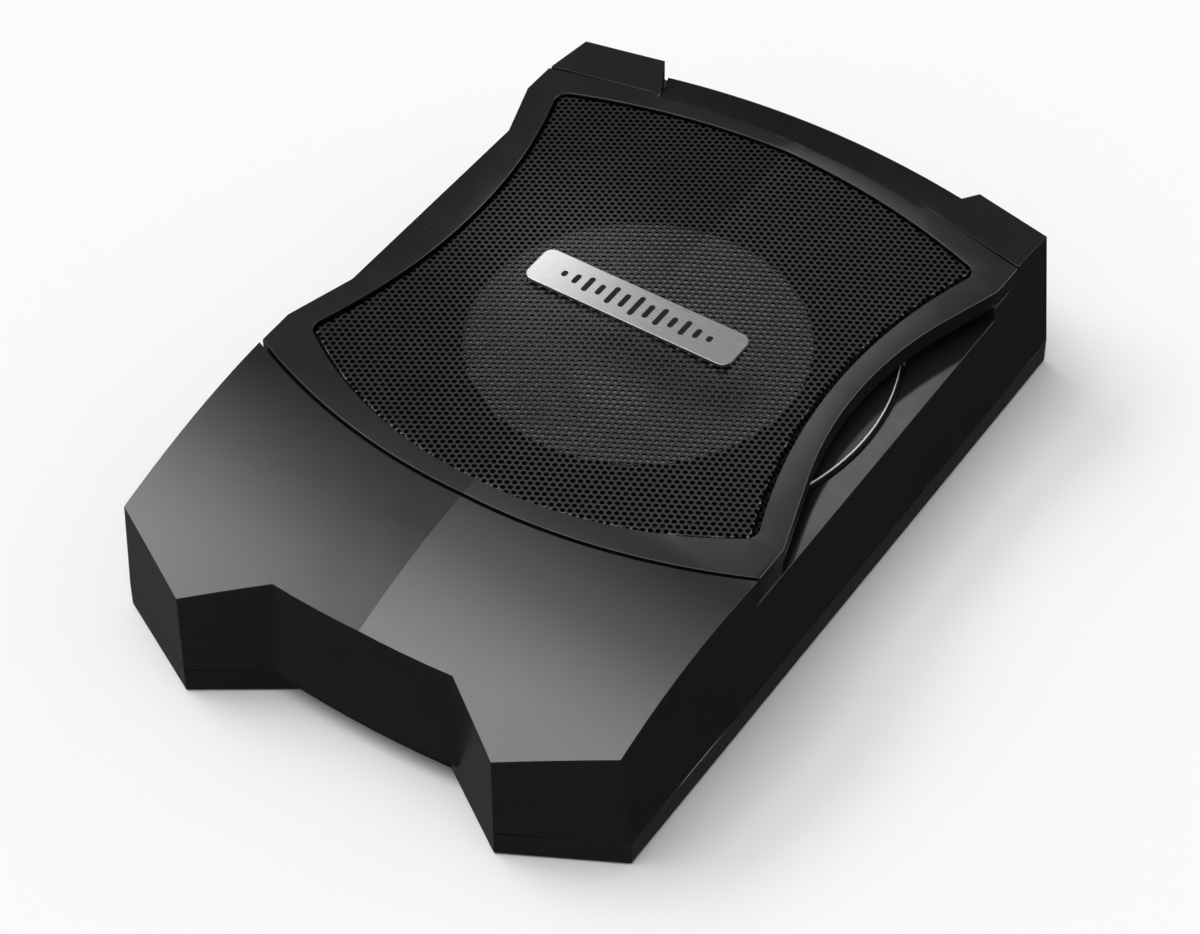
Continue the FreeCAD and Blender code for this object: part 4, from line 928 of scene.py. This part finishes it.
def round_outline(centre, radius, sides=32):
    """Outline of a disc."""
    return [(centre[0] + radius * math.cos(2 * math.pi * step / sides),
             centre[1] + radius * math.sin(2 * math.pi * step / sides))
            for step in range(sides)]


def collar(name, inner, outer, low, high, finish):
    """A flat band between two outlines, extruded along Y from low to high."""
    work = bmesh.new()
    rings = []
    for outline, depth in ((inner, low), (outer, low), (outer, high), (inner, high)):
        rings.append([work.verts.new((x * MM, depth * MM, z * MM)) for x, z in outline])
    for index, ring in enumerate(rings):
        following = rings[(index + 1) % len(rings)]
        for step in range(len(ring)):
            after = (step + 1) % len(ring)
            work.faces.new((ring[step], ring[after], following[after], following[step]))
    from_bmesh(name, work, finish)


def bay_parts():
    """The rear panel's own shapes with their moulded edges rounded."""
    for name, node, finish, width in (
            ("panel_face", "rear_panel", "panel_paint", 0.3),
            ("gain_dial_knob", "gain_knob", "knob_plastic", 0.25),
            ("crossover_dial_knob", "crossover_knob", "knob_plastic", 0.25),
            ("phase_lever_cap", "phase_slider", "slider_plastic", 0.25),
            ("level_lever_cap", "level_slider", "slider_plastic", 0.25),
            ("phase_switch_body", "phase_switch", "black_plastic", 0.2),
            ("level_switch_body", "level_switch", "black_plastic", 0.2),
            ("supply_socket", "power_socket", "black_plastic", 0.2),
            ("fuse_carrier", "fuse_holder", "black_plastic", 0.2),
            ("blade_fuses", "fuses", "fuse_orange", 0.3),
            ("remote_socket", "remote_jack", "black_plastic", 0.2),
            ("line_jacks", "rca_jacks", "nickel", 0.15),
            ("rubber_feet", "foot_pads", "rubber", 0.4)):
        softened(name, node, finish, width)


def printed(work, outline):
    """A mark on the panel: a thin slab sunk in its face."""
    slab(work, outline, PANEL_FACE - 0.2, PANEL_FACE + PROUD, rearward)


def dial_marks(name, x):
    """A dial's pointer, and the scale around it."""
    work = bmesh.new()
    slab(work, rounded_box((x, KNOB_Z + 2.9), (0.4, 2.1), 0.39, 4), KNOB_FACE - 0.3,
         KNOB_FACE + PROUD, rearward)
    from_bmesh(name + "_pointer", work, "print_grey", name + "_dial")
    work = bmesh.new()
    for step in range(SCALE_TICKS):
        angle = math.radians(KNOB_SWEEP * (2 * step / (SCALE_TICKS - 1) - 1))
        out = Vector((math.sin(angle), math.cos(angle)))
        middle = Vector((x, KNOB_Z)) + out * SCALE_RADIUS
        side = Vector((out.y, -out.x)) * 0.17
        reach = out * (0.65 if step % 5 == 0 else 0.4)
        printed(work, [middle - side - reach, middle + side - reach,
                       middle + side + reach, middle - side + reach])
    from_bmesh(name + "_scale", work, "print_grey")


def switch_marks():
    """Three dots under each slider."""
    work = bmesh.new()
    for _, x in KNOBS:
        for shift in (-DOT_PITCH, 0.0, DOT_PITCH):
            printed(work, round_outline((x + shift, DOT_Z), 0.35, 12))
    from_bmesh("switch_dots", work, "print_grey")


def jack_marks():
    """Colour rings and white throats."""
    for x, colour, finish in JACKS:
        centre = (x, JACK_Z)
        collar("insulator_" + colour, round_outline(centre, 4.1), round_outline(centre, 5.6),
               PANEL_FACE - 0.1, PANEL_FACE + 1.0, finish)
        collar("throat_" + colour, round_outline(centre, 1.6), round_outline(centre, 3.1),
               JACK_MOUTH - 0.62, JACK_MOUTH, "jack_white")


def jack_outline():
    """One line around the pair of jacks."""
    between = ((JACKS[0][0] + JACKS[1][0]) / 2, JACK_Z)
    collar("jack_outline", rounded_box(between, (16.3, 8.3), 1.7, 5),
           rounded_box(between, (16.6, 8.6), 2.0, 5), PANEL_FACE - 0.2, PANEL_FACE + PROUD,
           "print_grey")


bay_parts()
for dial, dial_x in KNOBS:
    dial_marks(dial, dial_x)
jack_marks()
switch_marks()
jack_outline()


# ---------------------------------------------------------------- camera

AZIMUTH = math.radians(33.4965)
ELEVATION = math.radians(45.9819)
DISTANCE = 1.4915
AIM = Vector((-0.00523, 0.01105, 0.0))
FOCAL_LENGTH = 111.33
back = Vector((math.sin(AZIMUTH) * math.cos(ELEVATION),
               -math.cos(AZIMUTH) * math.cos(ELEVATION), math.sin(ELEVATION)))
camera_data = bpy.data.cameras.new("camera")
camera_data.sensor_width = 36.0
camera_data.lens = FOCAL_LENGTH
camera_data.clip_end = 50.0
camera = bpy.data.objects.new("camera", camera_data)
scene.collection.objects.link(camera)
camera.location = AIM + back * DISTANCE
camera.rotation_euler = (-back).to_track_quat("-Z", "Y").to_euler()
scene.camera = camera


# ---------------------------------------------------------------- studio

def stage_piece(name, work, finish):
    """A piece of the studio, which isn't part of the object."""
    mesh = bpy.data.meshes.new(name)
    work.to_mesh(mesh)
    work.free()
    piece = bpy.data.objects.new(name, mesh)
    scene.collection.objects.link(piece)
    mesh.materials.append(finish.material)
    return piece


FLOOR_HALF = 6.0


def make_stage():
    """A pale floor, and a white backdrop that only the camera sees."""
    work = bmesh.new()
    bmesh.ops.create_grid(work, x_segments=4, y_segments=4, size=FLOOR_HALF)
    finish = Finish("studio_floor", (0.8, 0.8, 0.8))
    finish.rough(finish.noise(8.0, 3.0), 0.75, 0.85)
    finish.value("Specular IOR Level", 0.0)
    floor = stage_piece("studio_floor", work, finish)
    floor.visible_glossy = False

    work = bmesh.new()
    bmesh.ops.create_uvsphere(work, u_segments=48, v_segments=24, radius=FLOOR_HALF)
    finish = Finish("studio_backdrop", (0, 0, 0))
    finish.value("Specular IOR Level", 0.0)
    finish.value("Emission Color", (1, 1, 1, 1))
    finish.value("Emission Strength", 1.0)
    backdrop = stage_piece("studio_backdrop", work, finish)
    for ray in ("diffuse", "glossy", "transmission", "volume_scatter", "shadow"):
        setattr(backdrop, "visible_" + ray, False)


class Sky(Wiring):
    """The studio's light as a field of directions."""

    def __init__(self):
        self.world = bpy.data.worlds.new("studio_light")
        super().__init__(self.world)
        where = self.nodes.new("ShaderNodeTexCoord")
        self.direction = where.outputs["Generated"]
        self.axis = self.axes(self.direction)

    def step(self, source, start, stop, low=0.0, high=1.0):
        """Smooth step of a factor from low to high between start and stop."""
        return self.spread(source, low, high, start, stop, "SMOOTHSTEP")

    def toward(self, way, start, stop, low=0.0, high=1.0):
        """Smooth step of the cosine to one direction."""
        dot = self.nodes.new("ShaderNodeVectorMath")
        dot.operation = "DOT_PRODUCT"
        self.links.new(self.direction, dot.inputs[0])
        dot.inputs[1].default_value = Vector(way).normalized()
        return self.step(dot.outputs["Value"], start, stop, low, high)

    def away(self, axis, centre):
        """Distance of one coordinate from a centre value."""
        shifted = self.join("SUBTRACT", self.axis[axis], centre)
        return self.join("ABSOLUTE", shifted, 0.0)


def light_studio():
    """Each term is one panel of light: its radiance and the directions it fills."""
    sky = Sky()
    x, y, z = (sky.axis[name] for name in "XYZ")
    key = sky.join("MULTIPLY", 6.0, sky.step(y, 0.53, -0.08), sky.step(y, -0.55, -0.30),
                   sky.step(x, -0.85, -0.60), sky.step(x, 0.25, -0.05),
                   sky.step(z, 0.50, 0.72),
                   sky.step(sky.away("X", -0.455), 0.0, 0.072, 0.0, 1.0),
                   sky.step(x, -0.29, -0.37, 0.74, 1.0))
    fill = sky.join("MULTIPLY", 0.50, sky.step(z, -0.02, 0.12),
                    sky.toward((-0.40, 0.62, 0.67), 0.97, 0.72, 0.16, 1.0))
    horizon = sky.join("MULTIPLY", 0.30, sky.step(z, -0.60, -0.25), sky.step(z, 0.10, 0.0),
                       sky.toward((-0.38, 0.92, 0.0), 0.95, 0.55))
    side_glow = sky.join("MULTIPLY", 0.08, sky.toward((-0.74, 0.10, -0.66), 0.925, 0.975))
    ground = sky.join("MULTIPLY", 0.045, sky.step(z, -0.40, -0.60),
                      sky.step(y, 0.60, -0.50, 0.4, 1.0),
                      sky.toward((-0.525, 0.454, -0.719), 0.97, 0.86, 0.0, 1.0))
    nose_right = sky.join("MULTIPLY", 0.42, sky.toward((-0.33, 0.42, 0.85), 0.988, 0.998))
    nose_left = sky.join("MULTIPLY", 0.17, sky.toward((-0.50, 0.43, 0.75), 0.985, 0.997))
    shoulder = sky.join("MULTIPLY", 3.2, sky.step(sky.away("X", -0.330), 0.056, 0.024),
                        sky.step(sky.away("Y", 0.618), 0.056, 0.024), sky.step(z, 0.4, 0.5))
    rim = sky.join("MULTIPLY", 1.6, sky.toward((-0.38, 0.80, -0.47), 0.984, 0.996))
    skirt = sky.join("MULTIPLY", 0.035, sky.toward((0.07, 0.58, -0.81), 0.97, 0.992))
    total = sky.join("ADD", key, fill, horizon, side_glow, ground, nose_right, nose_left,
                     shoulder, rim, skirt)
    background = sky.nodes["Background"]
    sky.links.new(total, background.inputs["Strength"])
    background.inputs["Color"].default_value = (1, 1, 1, 1)
    scene.world = sky.world


def panel_light(name, spot, way, reach, size, radiance):
    """A square light that faces a spot from one way off, at a distance of reach."""
    data = bpy.data.lights.new(name, "AREA")
    data.size = size
    data.energy = radiance * math.pi * size * size
    light = bpy.data.objects.new(name, data)
    scene.collection.objects.link(light)
    light.location = spot + way * reach
    light.rotation_euler = way.to_track_quat("Z", "Y").to_euler()
    light.visible_camera = False
    return light


def softbox(name, aim, size, radiance, reach):
    """A light that a level mirror at aim would show to the camera."""
    spot = Vector(aim) * MM
    sight = (camera.location - spot).normalized()
    panel_light(name, spot, Vector((-sight.x, -sight.y, sight.z)), reach, size, radiance)


def glint(name, way, size, radiance, reach=2.0):
    """A far panel seen only in reflections, where rounded edges turn towards it."""
    light = panel_light(name, Vector(), Vector(way).normalized(), reach, size, radiance)
    light.visible_diffuse = False


make_stage()
light_studio()
softbox("softbox_left", (-44, 31, 78), 0.07, 1.4, 0.25)
glint("glint_right", (0.50, 0.60, 0.62), 1.3, 4.0)

scene.view_settings.view_transform = "Standard"
